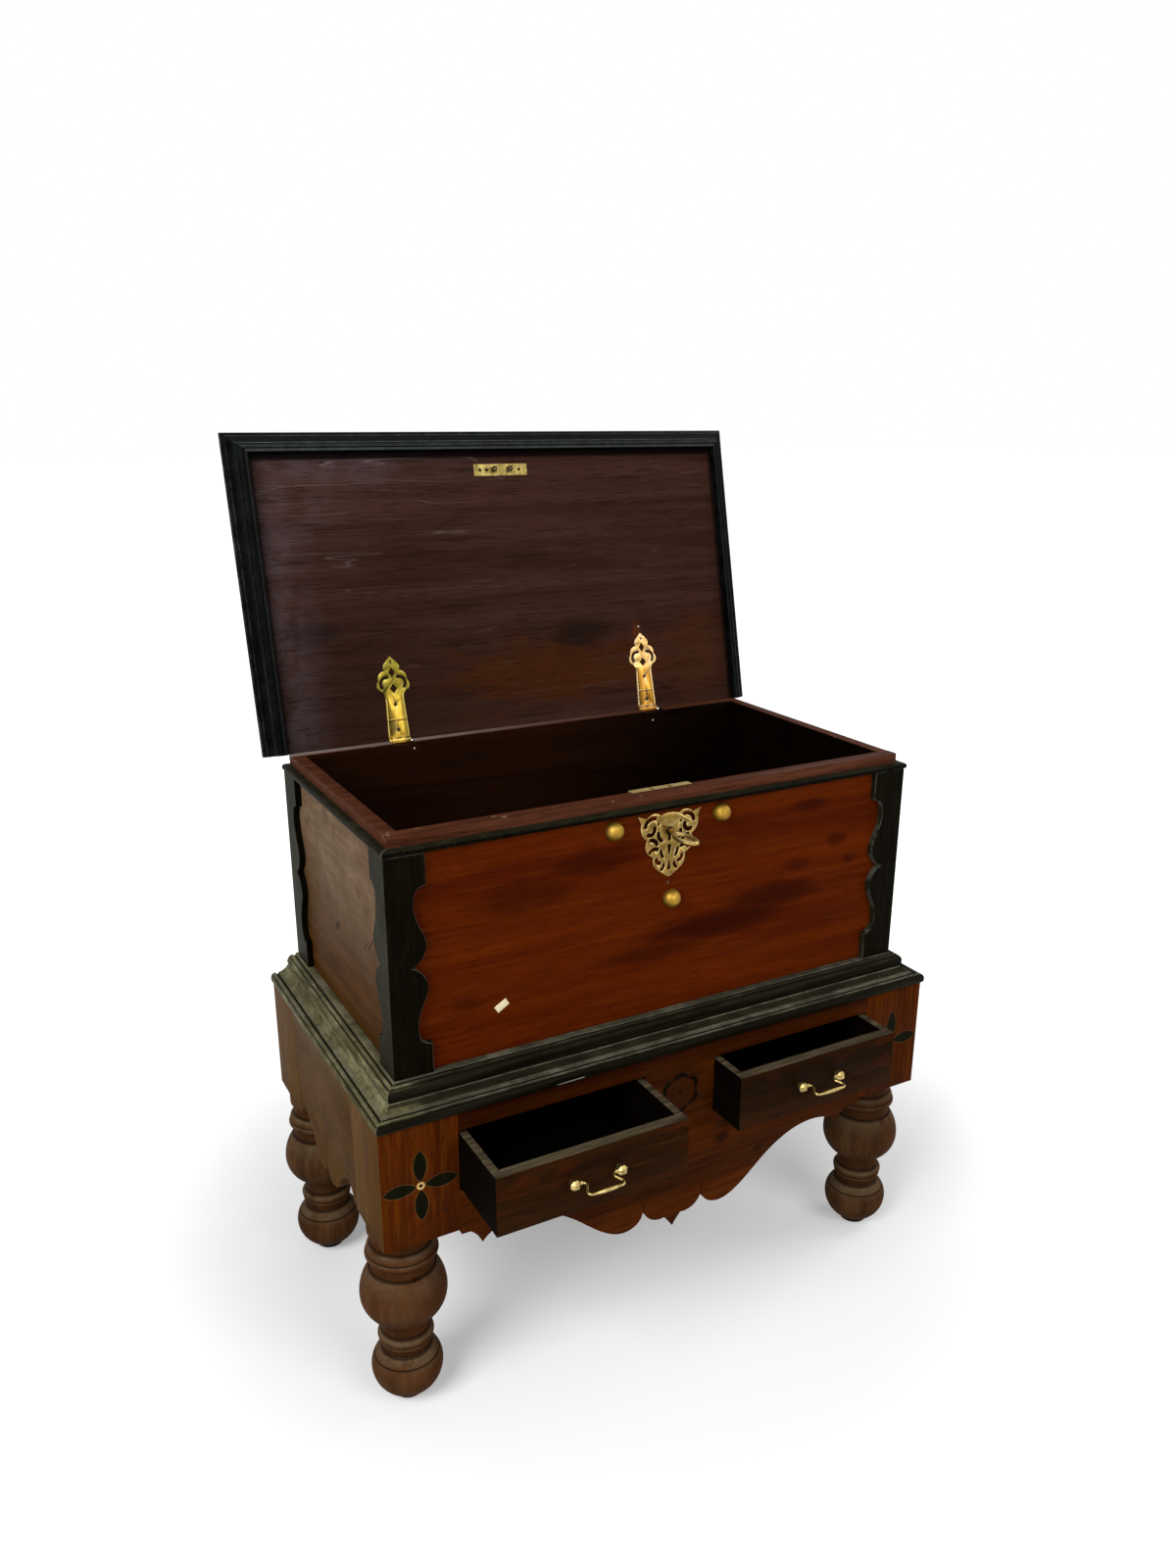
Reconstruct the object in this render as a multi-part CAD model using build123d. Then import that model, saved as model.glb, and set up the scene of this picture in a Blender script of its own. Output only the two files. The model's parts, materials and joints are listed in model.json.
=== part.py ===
"""Dowry chest on a low stand, as separate pieces of wood and brass.

The chest is a dovetailed box with a hinged lid, a lock with its key, and black
mouldings and corner straps. It sits on a stand of four square posts with
turned legs, shaped aprons and two drawers. Millimetres throughout: +X to the
right seen from the front, +Y towards the back, +Z up. The pieces are laid out
from the middle of the stand, closed, then opened to the rest pose. At the end
the whole is moved along Y, so that the origin is the floor point under the
middle of its box.
"""

import math
import os

from build123d import *

# ---- Stand: posts, rails and aprons, wider than the chest by these margins --
stand_side_margin = 42.7
stand_front_margin = 40.9
stand_back_margin = 21.0
post_bottom = 317.0
post_height = 197.0
post_width = 120.0
post_depth = 122.0
rail_thickness = 28.0
top_rail_height = 30.0
opening_height = 100.0
stile_half_width = 64.0
back_apron_height = 169.0
side_apron_height = 229.0
tenon_length = 32.0
tenon_thickness = 10.0
tenon_shoulder = 12.0
stile_tenon_length = 12.0
peg_radius = 3.6
peg_length = 30.0
peg_inset = 24.0
peg_above_post_foot = 42.0

# ---- Front apron's lower edge ----------------------------------------------
pendant_drop = 194.0
pendant_offset = -9.0
kerf_width = 1.5

# ---- Turned legs ------------------------------------------------------------
leg_side_inset = 49.5
leg_front_inset = 70.0
leg_back_inset = 65.4
leg_tenon_radius = 19.0
leg_tenon_length = 60.0
leg_socket_gap = 0.05
leg_bulb_radius = 67.0

# ---- Inlaid ornament of the stand's front ----------------------------------
petal_start = 6.6
petal_reach = 58.0
petal_width = 20.5
petals_above_post_foot = 96.0
inlay_depth = 2.0
inlay_ring_outer = 6.3
inlay_ring_inner = 3.0
rosette_above_opening = 52.5
rosette_radius = 36.0
rosette_petals = 6
crescent_chord = 27.0
crescent_thickness = 8.0

# ---- Mouldings --------------------------------------------------------------
lower_moulding_height = 27.0
lower_moulding_inward = 40.0
lower_moulding_overhang = 3.3
back_strip_depth = 60.0
upper_moulding_height = 24.0
upper_moulding_reach = 17.6
upper_moulding_back = 12.0
bead_height = 10.3
bead_overhang = 3.0
rim_above_bead = 15.3

# ---- Chest boards -----------------------------------------------------------
chest_half_width = 446.8
chest_front = -223.6
chest_back = 249.0
chest_height = 385.3
board = 22.0
tail_count = 5
tail_share = 0.62
tail_slope = 8.0

# ---- Corner straps ----------------------------------------------------------
strap_thickness = 10.5
strap_wide = 60.0
strap_plain = 47.7
strap_step = 14.0
strap_neck = 41.0
strap_belly = 57.5
strap_cusp = 35.0

# ---- Lid and hinges ---------------------------------------------------------
lid_open_angle = 102.7
lid_gap = 0.3
lid_thickness = 20.0
lid_side_gap = 2.2
lid_front_gap = 10.0
lid_moulding_width = 36.0
lid_moulding_drop = 14.0
hinge_x = 251.0
hinge_behind = 6.0
hinge_below_rim = 2.0
lid_edge_to_pivot = -1.2
leaf_to_pivot = 5.0
barrel_room = 0.8
knuckle_radius = 4.0
knuckle_count = 5
knuckle_gap = 0.3
pin_radius = 1.8
pin_gap = 0.05
pin_end = 1.0
lid_leaf_thickness = 2.0
body_leaf_thickness = 1.5
hinge_notch_depth = 4.0
hinge_notch_gap = 1.1
leaf_half_width = 19.5
leaf_length = 140.0
nail_hole_radius = 2.0

# ---- Lock, its plates and its key ------------------------------------------
lock_x = -2.5
lock_half_width = 52.0
lock_below_key = 31.0
lock_depth = 13.5
lock_let_in = 5.4
lock_wall = 1.2
plate_half_width = 53.0
plate_thickness = 2.0
lid_plate_half_width = 51.5
lid_plate_width = 20.0
plate_nail_offsets = (-40.0, -27.0, 36.0)
staple_spacing = 30.0
staple_wire = 1.6
staple_half_gap = 3.4
staple_drop = 17.0
staple_shank = 9.0
slot_side_gap = 0.35
slot_end_gap = 0.6
bolt_thickness = 3.0
bolt_finger_length = 12.0
bolt_finger_height = 4.8
bolt_riser_width = 5.0
bolt_finger_drop = 0.5
bolt_to_staple = 1.5
bolt_rail_height = 6.0
bolt_rail_below = 12.0
bolt_seat_gap = 0.2
bolt_shelf_thickness = 2.0
bolt_talon_half_width = 4.0
bolt_talon_travel = 9.0
key_below_rim = 62.3
keyhole_radius = 5.5
keyhole_slot = 5.0
keyhole_drop = 16.0
escutcheon_height = 104.0
escutcheon_thickness = 2.0
boss_radius = 14.5
boss_skirt = 3.5
boss_shank_radius = 2.0
boss_shank_length = 12.0
boss_spread = 95.5
boss_above_key = 15.5
boss_lower_x = 5.0
boss_below_key = 111.0
key_radius = 4.0
key_bore_depth = 18.0
key_end_gap = 1.2
key_shank_length = 45.0
key_bow_length = 56.0
key_bow_half_width = 17.0
key_bow_rim = 6.0
key_bow_thickness = 6.4
key_bow_chamfer = 1.6
key_shank_in_bow = 4.0
key_collar_width = 3.0
key_collar_proud = 1.6
key_turned = 98.0
key_bit_reach = 15.0
key_bit_thickness = 3.0
key_bit_width = 6.0
key_bit_inset = 2.5
talon_to_bit = 1.6
lock_pin_radius = 1.95
lock_pin_gap = 0.05
lock_pin_length = 17.0

# ---- Drawers ----------------------------------------------------------------
drawer_side_gap = 2.0
drawer_foot_gap = 1.5
drawer_top_gap = 4.1
drawer_length = 505.0
drawer_front_thickness = 18.0
drawer_wall = 13.0
drawer_back_lower = 8.0
drawer_bottom_thickness = 7.0
drawer_groove = 6.0
drawer_lap = 6.0
drawer_bottom_up = 6.0
drawer_left_out = 124.7
drawer_right_out = 70.9
runner_gap = 0.3
runner_height = 25.0
runner_width = 30.0
guide_width = 18.0
guide_height = 62.0

# ---- Drawer handles ---------------------------------------------------------
handle_left_x = -225.0
handle_right_x = 217.0
handle_above_drawer_foot = 54.0
handle_half_span = 38.0
head_size = 15.5
head_chamfer = 4.6
head_out = 12.0
stem_radius = 3.5
nut_size = 11.0
nut_thickness = 4.0
stem_past_nut = 2.0
bail_wire = 1.9
bail_grip = 3.3
bail_grip_half = 20.0
bail_depth = 27.5
bail_eye_inset = 18.0
bail_corner = 33.0
bail_bend = 6.2
bail_collar = 3.2
bail_collar_width = 3.0
bail_collar_gap = 0.3
bail_lift = 83.0
bail_pin_gap = 0.05

# ---- Heights and planes that follow from the sizes above -------------------
stand_top = post_bottom + post_height
opening_top = stand_top - top_rail_height
opening_bottom = opening_top - opening_height
back_apron_bottom = stand_top - back_apron_height
peg_height = post_bottom + peg_above_post_foot
petal_height = post_bottom + petals_above_post_foot
rosette_height = opening_bottom + rosette_above_opening
moulding_top = stand_top + lower_moulding_height
strap_bottom = moulding_top + upper_moulding_height
rim_top = moulding_top + chest_height
bead_top = rim_top - rim_above_bead
strap_top = bead_top - bead_height
strap_half = chest_half_width + strap_thickness
strap_front = chest_front - strap_thickness
stand_half_width = strap_half + stand_side_margin
stand_front = strap_front - stand_front_margin
stand_back = chest_back + stand_back_margin
lower_moulding_reach = stand_side_margin + lower_moulding_overhang
leg_x = stand_half_width - leg_side_inset
leg_front_y = stand_front + leg_front_inset
leg_back_y = stand_back - leg_back_inset
inner_half = chest_half_width - board
inner_front = chest_front + board
inner_back = chest_back - board
opening_edge = stand_half_width - post_width
post_middle = stand_half_width - post_width / 2
front_rail_back = stand_front + rail_thickness
back_rail_front = stand_back - rail_thickness
front_post_back = stand_front + post_depth
back_post_front = stand_back - post_depth
side_rail_inner = stand_half_width - rail_thickness
hinge_y = chest_back + hinge_behind
hinge_z = rim_top - hinge_below_rim
lid_under = rim_top + lid_gap
lid_top = lid_under + lid_thickness
lid_back = hinge_y - lid_edge_to_pivot
leaf_start = hinge_y - leaf_to_pivot
lid_inner_half = chest_half_width + lid_side_gap
lid_inner_front = chest_front - lid_front_gap
lock_front = inner_front - lock_let_in
lock_back = lock_front + lock_depth
lock_top = rim_top - plate_thickness
key_height = rim_top - key_below_rim
lock_bottom = key_height - lock_below_key
staple_y = (lock_front + lock_back) / 2
staple_xs = (lock_x - staple_spacing / 2, lock_x + staple_spacing / 2)
staple_eye_z = lid_under - staple_drop + staple_wire + staple_half_gap
drawer_bottom_z = opening_bottom + drawer_foot_gap
drawer_top_z = opening_top - drawer_top_gap
handle_height = drawer_bottom_z + handle_above_drawer_foot
runner_top = drawer_bottom_z - runner_gap
hinge_line = Axis((0, hinge_y, hinge_z), (1, 0, 0))

pieces = {}


# ---- Ways of making a piece -------------------------------------------------
def block(x0, x1, y0, y1, z0, z1):
    """A squared piece between two corners."""
    middle = Pos((x0 + x1) / 2, (y0 + y1) / 2, (z0 + z1) / 2)
    return middle * Box(abs(x1 - x0), abs(y1 - y0), abs(z1 - z0))


def slab_front(outline, y0, y1):
    """An outline drawn in X and Z, cut from a board between two Y planes."""
    face = Plane((0, y0, 0), x_dir=(1, 0, 0), z_dir=(0, -1, 0)) * outline
    return extrude(face, amount=y1 - y0, dir=(0, 1, 0))


def slab_side(outline, x0, x1):
    """An outline drawn in Y and Z, cut from a board between two X planes."""
    face = Plane((x0, 0, 0), x_dir=(0, 1, 0), z_dir=(1, 0, 0)) * outline
    return extrude(face, amount=x1 - x0, dir=(1, 0, 0))


def slab_flat(outline, z0, z1):
    """An outline drawn in X and Y, raised between two heights."""
    return extrude(Pos(0, 0, z0) * outline, amount=z1 - z0, dir=(0, 0, 1))


def rod(start, end, radius):
    """A round bar from one point to another."""
    run = Vector(end) - Vector(start)
    return extrude(Plane(origin=start, z_dir=run) * Circle(radius), amount=run.length)


def polygon(*points):
    """A face with straight sides through the points, in order."""
    return make_face(Polyline(*points, close=True))


def symmetric_face(right_edges):
    """A face from the edges of its right half, which start and end on X = 0."""
    left_edges = [mirror(edge, about=Plane.YZ) for edge in right_edges]
    return make_face([*right_edges, *left_edges])


def mirrored(shape):
    """The same shape on the other side of the middle."""
    return mirror(shape, about=Plane.YZ)


def group(shapes):
    """Separate like solids that share one node."""
    return Compound([solid for shape in shapes for solid in shape.solids()])


def joined(*shapes):
    """One solid made of touching or crossing shapes."""
    whole = shapes[0]
    for shape in shapes[1:]:
        whole = whole + shape
    return whole


def cut(shape, *tools):
    """The shape with each tool's volume taken away."""
    for tool in tools:
        shape = shape - tool
    return shape


# ---- Turned legs: foot, two bulbs, beads and rings in one piece ------------
def swell(end_r, end_z, wide_r, wide_z):
    """The arc of a turned bulb, from its widest place, upright there, to its end."""
    rise = end_z - wide_z
    run = wide_r - end_r
    radius = (rise**2 + run**2) / (2 * run)
    half_turn = math.asin(rise / radius) / 2
    middle_r = wide_r - radius * (1 - math.cos(half_turn))
    middle = (middle_r, wide_z + radius * math.sin(half_turn))
    return ThreePointArc((wide_r, wide_z), middle, (end_r, end_z))


def turned_leg():
    """One leg on the Z axis, from the floor to the end of its round tenon.

    The profile is drawn for a leg 317 high with a bulb of radius 67.
    """

    def at(radius, height):
        return (radius * leg_bulb_radius / 67, height * post_bottom / 317)

    lower_bulb = at(55.5, 57)
    upper_bulb = at(67, 193.5)
    tenon_top = post_bottom + leg_tenon_length
    edges = [
        Polyline(at(0, 0), at(19, 0), at(24, 2.5), at(26, 10)),
        swell(*at(26, 10), *lower_bulb),
        swell(*at(39, 89), *lower_bulb),
        Polyline(at(39, 89), at(36, 91), at(36, 104)),
        Polyline(at(36, 104), at(41, 104), at(42, 106.5), at(41, 109), at(39.5, 109.6)),
        Line(at(39.5, 109.6), at(41, 110.2)),
        ThreePointArc(at(41, 110.2), at(43.4, 115), at(40, 120)),
        ThreePointArc(at(40, 120), at(37.4, 124), at(36.5, 129)),
        Polyline(at(36.5, 129), at(36.5, 145), at(39, 148)),
        swell(*at(39, 148), *upper_bulb),
        swell(*at(51, 239), *upper_bulb),
        Polyline(at(51, 239), at(49, 239.8), at(48.6, 258.5), at(53.5, 259.5)),
        ThreePointArc(at(53.5, 259.5), at(56, 264), at(54, 269)),
        Polyline(at(54, 269), at(52.4, 269.6), at(53.6, 270.4)),
        ThreePointArc(at(53.6, 270.4), at(52.3, 277), at(46.5, 283)),
        Polyline(at(46.5, 283), at(45.5, 301), at(51, 304), at(51, 317)),
        Polyline(at(51, 317), (leg_tenon_radius, post_bottom), (leg_tenon_radius, tenon_top)),
        Polyline((leg_tenon_radius, tenon_top), (0, tenon_top), (0, 0)),
    ]
    return revolve(Plane.XZ * make_face(edges), Axis.Z)


corners = {
    "front_left": (-1, leg_front_y),
    "front_right": (1, leg_front_y),
    "back_left": (-1, leg_back_y),
    "back_right": (1, leg_back_y),
}
one_leg = turned_leg()
for corner, (side, leg_y) in corners.items():
    pieces["leg_" + corner] = Pos(side * leg_x, leg_y, 0) * one_leg


# ---- Inlays let in flush: a flower on each front post, a rosette between ---
def petal():
    """A pointed leaf along +X from the middle of its flower, between two arcs."""
    middle = (petal_start + petal_reach) / 2
    half = petal_width / 2
    upper = ThreePointArc((petal_start, 0), (middle, half), (petal_reach, 0))
    lower = ThreePointArc((petal_reach, 0), (middle, -half), (petal_start, 0))
    return make_face([upper, lower])


def crescent():
    """A thin moon at the rim of the rosette, centred on +X, horns inwards."""
    horn = crescent_chord / 2
    horn_x = rosette_radius - horn
    outer = ThreePointArc((horn_x, -horn), (rosette_radius, 0), (horn_x, horn))
    belly = (rosette_radius - crescent_thickness, 0)
    inner = ThreePointArc((horn_x, horn), belly, (horn_x, -horn))
    return make_face([outer, inner])


def inlay(outline, x, z):
    """A flush inlay plate in the stand's front face."""
    return slab_front(Pos(x, z) * outline, stand_front, stand_front + inlay_depth)


ring_outline = Circle(inlay_ring_outer) - Circle(inlay_ring_inner)
flower_inlays = {}
ring_inlays = {}
for side in (-1, 1):
    flower_inlays[side] = [
        inlay(Rot(0, 0, 90 * quarter) * petal(), side * post_middle, petal_height)
        for quarter in range(4)
    ]
    ring_inlays[side] = inlay(ring_outline, side * post_middle, petal_height)
rosette_inlays = [
    inlay(Rot(0, 0, 90 + 360 / rosette_petals * count) * crescent(), 0, rosette_height)
    for count in range(rosette_petals)
]
rosette_inlays.append(inlay(Circle(inlay_ring_inner), 0, rosette_height))
pieces["black_inlays"] = group(flower_inlays[-1] + flower_inlays[1] + rosette_inlays)
pieces["bone_rings"] = group(list(ring_inlays.values()))


# ---- Frame of the stand: tenoned rails and aprons, pegged at the front -----
def cross_tenon(side, face_y, z0, z1):
    """A tenon of a front or back rail, into the post on one side."""
    middle = face_y + rail_thickness / 2
    y0 = middle - tenon_thickness / 2
    x0 = side * opening_edge
    return block(x0, x0 + side * tenon_length, y0, y0 + tenon_thickness, z0, z1)


def long_tenon(side, y0, y1, z0, z1):
    """A tenon of a side apron, into a post."""
    middle = side * (stand_half_width - rail_thickness / 2)
    return block(middle - tenon_thickness / 2, middle + tenon_thickness / 2, y0, y1, z0, z1)


def front_apron_edges(side):
    """Half of the front apron: pendant, kerf, lobe, wave and cusp, then its end.

    It is drawn for an apron 380 from the middle to its end, with the opening's
    bottom at 384 and the pendant's tip 194 below it.
    """
    kerf = kerf_width / 2

    def at(x, z):
        height = opening_bottom + (z - 384) * pendant_drop / 194
        return (side * x * opening_edge / 380 + pendant_offset, height)

    end_bottom = at(380, 308.5)[1]
    return [
        ThreePointArc(at(0, 190), at(9, 203), at(16, 211)),
        ThreePointArc(at(16, 211), at(40, 215), at(56 - kerf, 236)),
        Polyline(at(56 - kerf, 236), at(56 - kerf, 250), at(56 + kerf, 250), at(56 + kerf, 236)),
        Spline(at(56 + kerf, 236), at(70, 214.5), at(92, 208.5), at(118, 216), at(162, 249)),
        Spline(at(162, 249), at(204, 281.5), at(248, 301), at(292, 305), at(318, 298.5), at(338, 283)),
        ThreePointArc(at(338, 283), at(346.5, 298.5), at(357, 308.5)),
        Polyline(
            at(357, 308.5),
            (side * opening_edge, end_bottom),
            (side * opening_edge, opening_bottom),
            (pendant_offset, opening_bottom),
        ),
    ]


def side_apron_face():
    """A side apron in Y and Z: two lobes about a kerf, an arch and a drop each way.

    It is drawn for an apron 150.5 from its middle to a post, with its top at 514
    and its pendants 229 below it.
    """
    half = (back_post_front - front_post_back) / 2
    kerf = kerf_width / 2

    def at(y, z):
        height = stand_top + (z - 514) * side_apron_height / 229
        return (y * half / 150.5, height)

    right = [
        Polyline(at(0, 330), (kerf, at(0, 330)[1]), (kerf, at(0, 300)[1])),
        ThreePointArc((kerf, at(0, 300)[1]), at(9, 289), at(32, 285)),
        ThreePointArc(at(32, 285), at(54, 295), at(70, 314)),
        ThreePointArc(at(70, 314), at(88, 333), at(112, 344)),
        ThreePointArc(at(112, 344), at(130, 338), at(138, 322)),
        Polyline(at(138, 322), at(150.5, 322), at(150.5, 514), at(0, 514)),
    ]
    return symmetric_face(right)


side_middle = (front_post_back + back_post_front) / 2
top_tenon_z = (opening_top + tenon_shoulder / 2, stand_top - tenon_shoulder / 2)
apron_tenon_z = (post_bottom + tenon_shoulder, opening_bottom - tenon_shoulder)
back_tenon_z = (back_apron_bottom + tenon_shoulder, stand_top - tenon_shoulder)
side_tenon_z = (post_bottom + 2 * tenon_shoulder, stand_top - tenon_shoulder)

rail_tenons = {side: cross_tenon(side, stand_front, *top_tenon_z) for side in (-1, 1)}
apron_tenons = {side: cross_tenon(side, stand_front, *apron_tenon_z) for side in (-1, 1)}
back_tenons = {side: cross_tenon(side, back_rail_front, *back_tenon_z) for side in (-1, 1)}
side_tenons = {}
for side in (-1, 1):
    reach = (front_post_back - tenon_length, front_post_back)
    side_tenons[side, "front"] = long_tenon(side, *reach, *side_tenon_z)
    reach = (back_post_front, back_post_front + tenon_length)
    side_tenons[side, "back"] = long_tenon(side, *reach, *side_tenon_z)

peg_x = opening_edge + peg_inset
pegs = {
    side: rod(
        (side * peg_x, stand_front, peg_height),
        (side * peg_x, stand_front + peg_length, peg_height),
        peg_radius,
    )
    for side in (-1, 1)
}
pieces["joint_pegs"] = group(list(pegs.values()))

stile_tenon_y = (
    stand_front + (rail_thickness - tenon_thickness) / 2,
    stand_front + (rail_thickness + tenon_thickness) / 2,
)
stile_tenon_x = (tenon_shoulder - stile_half_width, stile_half_width - tenon_shoulder)
stile_foot = block(
    *stile_tenon_x, *stile_tenon_y, opening_bottom - stile_tenon_length, opening_bottom
)
stile_head = block(*stile_tenon_x, *stile_tenon_y, opening_top, opening_top + stile_tenon_length)
stile_body = block(
    -stile_half_width, stile_half_width, stand_front, front_rail_back, opening_bottom, opening_top
)
pieces["centre_stile"] = cut(joined(stile_body, stile_foot, stile_head), *rosette_inlays)

top_rail = block(-opening_edge, opening_edge, stand_front, front_rail_back, opening_top, stand_top)
pieces["front_top_rail"] = cut(joined(top_rail, *rail_tenons.values()), stile_head)

front_apron_face = make_face([*front_apron_edges(-1), *front_apron_edges(1)])
front_apron = slab_front(front_apron_face, stand_front, front_rail_back)
front_apron = joined(front_apron, *apron_tenons.values())
pieces["front_apron"] = cut(front_apron, stile_foot, *pegs.values())

back_apron = block(
    -opening_edge, opening_edge, back_rail_front, stand_back, back_apron_bottom, stand_top
)
pieces["back_apron"] = joined(back_apron, *back_tenons.values())

side_aprons = []
for side in (-1, 1):
    face = Pos(side_middle, 0) * side_apron_face()
    apron = slab_side(face, side * side_rail_inner, side * stand_half_width)
    side_aprons.append(joined(apron, side_tenons[side, "front"], side_tenons[side, "back"]))
pieces["side_aprons"] = group(side_aprons)

for corner, (side, leg_y) in corners.items():
    at_front = leg_y < 0
    post_y = (stand_front, front_post_back) if at_front else (back_post_front, stand_back)
    post = block(side * opening_edge, side * stand_half_width, *post_y, post_bottom, stand_top)
    socket_top = (side * leg_x, leg_y, post_bottom + leg_tenon_length)
    socket = rod((side * leg_x, leg_y, post_bottom), socket_top, leg_tenon_radius + leg_socket_gap)
    if at_front:
        joints_cut = [rail_tenons[side], apron_tenons[side], side_tenons[side, "front"]]
        joints_cut += [pegs[side], ring_inlays[side], *flower_inlays[side]]
    else:
        joints_cut = [back_tenons[side], side_tenons[side, "back"]]
    pieces["post_" + corner] = cut(post, socket, *joints_cut)

# ---- Drawer runners and guides ----------------------------------------------
runner_z = (runner_top - runner_height, runner_top)
runner_y = (front_rail_back, back_rail_front)
side_runner = block(opening_edge - runner_width, opening_edge, *runner_y, *runner_z)
centre_reach = stile_half_width + runner_width
centre_runner = block(-centre_reach, centre_reach, *runner_y, *runner_z)
pieces["drawer_runners"] = group([mirrored(side_runner), centre_runner, side_runner])
guide_z = (runner_top - runner_height, runner_top - runner_height + guide_height)
side_guide = block(
    opening_edge, opening_edge + guide_width, front_post_back, back_post_front, *guide_z
)
centre_guide = block(
    -stile_half_width, stile_half_width, *runner_y, runner_top, runner_top + guide_height / 2
)
pieces["drawer_guides"] = group([mirrored(side_guide), centre_guide, side_guide])


# ---- Mouldings: straight runs mitred at the two front corners --------------
def mitre_zone(run, half, front, back, inward, outward, z0, z1):
    """The space that one run of a border owns, cut at 45 degrees at its corners."""
    outer = (half + outward, front - outward)
    inner = (half - inward, front + inward)
    if run == "front":
        plan = polygon((-outer[0], outer[1]), outer, inner, (-inner[0], inner[1]))
    else:
        plan = polygon(outer, inner, (inner[0], back), (outer[0], back))
    zone = slab_flat(plan, z0, z1)
    return mirrored(zone) if run == "left" else zone


def border_run(profile, run, half, front, back, z0, z1, inward, outward):
    """One run of a moulding: its profile, outwards and up, along the front or a side."""
    if run == "front":
        face = Plane((-half - outward, front, 0), x_dir=(0, -1, 0), z_dir=(-1, 0, 0)) * profile
        bar = extrude(face, amount=2 * (half + outward), dir=(1, 0, 0))
    else:
        face = Plane((half, front - outward, 0), x_dir=(1, 0, 0), z_dir=(0, -1, 0)) * profile
        bar = extrude(face, amount=back - front + outward, dir=(0, 1, 0))
        bar = mirrored(bar) if run == "left" else bar
    zone = mitre_zone(run, half, front, back, inward, outward, z0, z1)
    return bar & zone


def lower_moulding_profile():
    """The stand's moulding: a bearer inwards, a hollow, a sunk line and a bead."""
    bottom, top = stand_top, moulding_top
    inner = -lower_moulding_inward
    nose = lower_moulding_reach
    bead_start = (nose - 10.6, top - 12.8)
    bead_crest = (nose - 8.8, top - 9.6)
    edges = [
        Polyline((nose - 3, bottom), (inner, bottom), (inner, top), (16, top)),
        ThreePointArc((16, top), (nose - 22, top - 7.6), (nose - 13.5, top - 10.2)),
        Polyline((nose - 13.5, top - 10.2), (nose - 12.8, top - 13.2), bead_start, bead_crest),
        ThreePointArc(bead_crest, (nose - 2.2, top - 12.2), (nose, bottom + 7.5)),
        ThreePointArc((nose, bottom + 7.5), (nose - 0.4, bottom + 3), (nose - 3, bottom)),
    ]
    return make_face(edges)


def upper_moulding_profile():
    """The chest's foot moulding: a thin lip at the straps, a groove and a nose."""
    bottom, top = moulding_top, strap_bottom
    nose = upper_moulding_reach
    crest = (nose - 11.2, top - 1.4)
    edges = [
        Polyline(
            (nose - 3.2, bottom), (-strap_thickness, bottom), (-strap_thickness, top), (2, top)
        ),
        Polyline((2, top), (2.8, top - 4.4), (nose - 12, top - 4.4), crest),
        ThreePointArc(crest, (nose - 4.2, top - 4.4), (nose, top - 12.5)),
        ThreePointArc((nose, top - 12.5), (nose - 0.4, top - 17), (nose - 3.2, bottom)),
    ]
    return make_face(edges)


def bead_profile():
    """The rounded bead under the chest's rim."""
    start = -1.0
    middle = (bead_overhang, (strap_top + bead_top) / 2)
    edges = [
        Polyline(
            (start, strap_top),
            (-strap_thickness, strap_top),
            (-strap_thickness, bead_top),
            (start, bead_top),
        ),
        ThreePointArc((start, bead_top), middle, (start, strap_top)),
    ]
    return make_face(edges)


def lid_moulding_profile():
    """The lid's moulding: inner bead, groove, round, hollow, line and top lip."""
    low, top = lid_under - lid_moulding_drop, lid_top
    width = lid_moulding_width
    edges = [
        Polyline((0, top), (0, low), (5.5, low), (5.5, low + 1.8), (7, low + 1.8)),
        ThreePointArc((7, low + 1.8), (12.6, low + 3.3), (15.5, low + 8)),
        ThreePointArc((15.5, low + 8), (19.5, low + 15), (27.5, low + 18)),
        Polyline((27.5, low + 18), (27.5, low + 19.6), (29, low + 19.6)),
        ThreePointArc((29, low + 19.6), (width - 1.6, low + 23.6), (width, low + 29)),
        ThreePointArc((width, low + 29), (width - 0.9, low + 32.4), (width - 3.5, top)),
        Line((width - 3.5, top), (0, top)),
    ]
    return make_face(edges)


def lower_run(run):
    """One run of the stand's moulding, which also carries the chest's boards."""
    return border_run(
        lower_moulding_profile(),
        run,
        strap_half,
        strap_front,
        stand_back,
        stand_top,
        moulding_top,
        lower_moulding_inward,
        lower_moulding_reach,
    )


def upper_run(run):
    """One run of the chest's foot moulding, fixed to its boards under the straps."""
    return border_run(
        upper_moulding_profile(),
        run,
        strap_half,
        strap_front,
        chest_back + upper_moulding_back,
        moulding_top,
        strap_bottom,
        strap_thickness,
        upper_moulding_reach,
    )


pieces["lower_moulding_front"] = lower_run("front")
pieces["lower_moulding_sides"] = group([lower_run("left"), lower_run("right")])
pieces["upper_moulding_front"] = upper_run("front")
pieces["upper_moulding_sides"] = group([upper_run("left"), upper_run("right")])
back_strip_half = strap_half - lower_moulding_inward
pieces["lower_moulding_back"] = block(
    -back_strip_half,
    back_strip_half,
    stand_back - back_strip_depth,
    stand_back,
    stand_top,
    moulding_top,
)
pieces["upper_moulding_back"] = block(
    -chest_half_width,
    chest_half_width,
    chest_back,
    chest_back + upper_moulding_back,
    moulding_top,
    strap_bottom,
)
pieces["rim_beads"] = group(
    [
        border_run(
            bead_profile(),
            run,
            strap_half,
            strap_front,
            chest_back,
            strap_top,
            bead_top,
            strap_thickness,
            bead_overhang,
        )
        for run in ("front", "left", "right")
    ]
)


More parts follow.
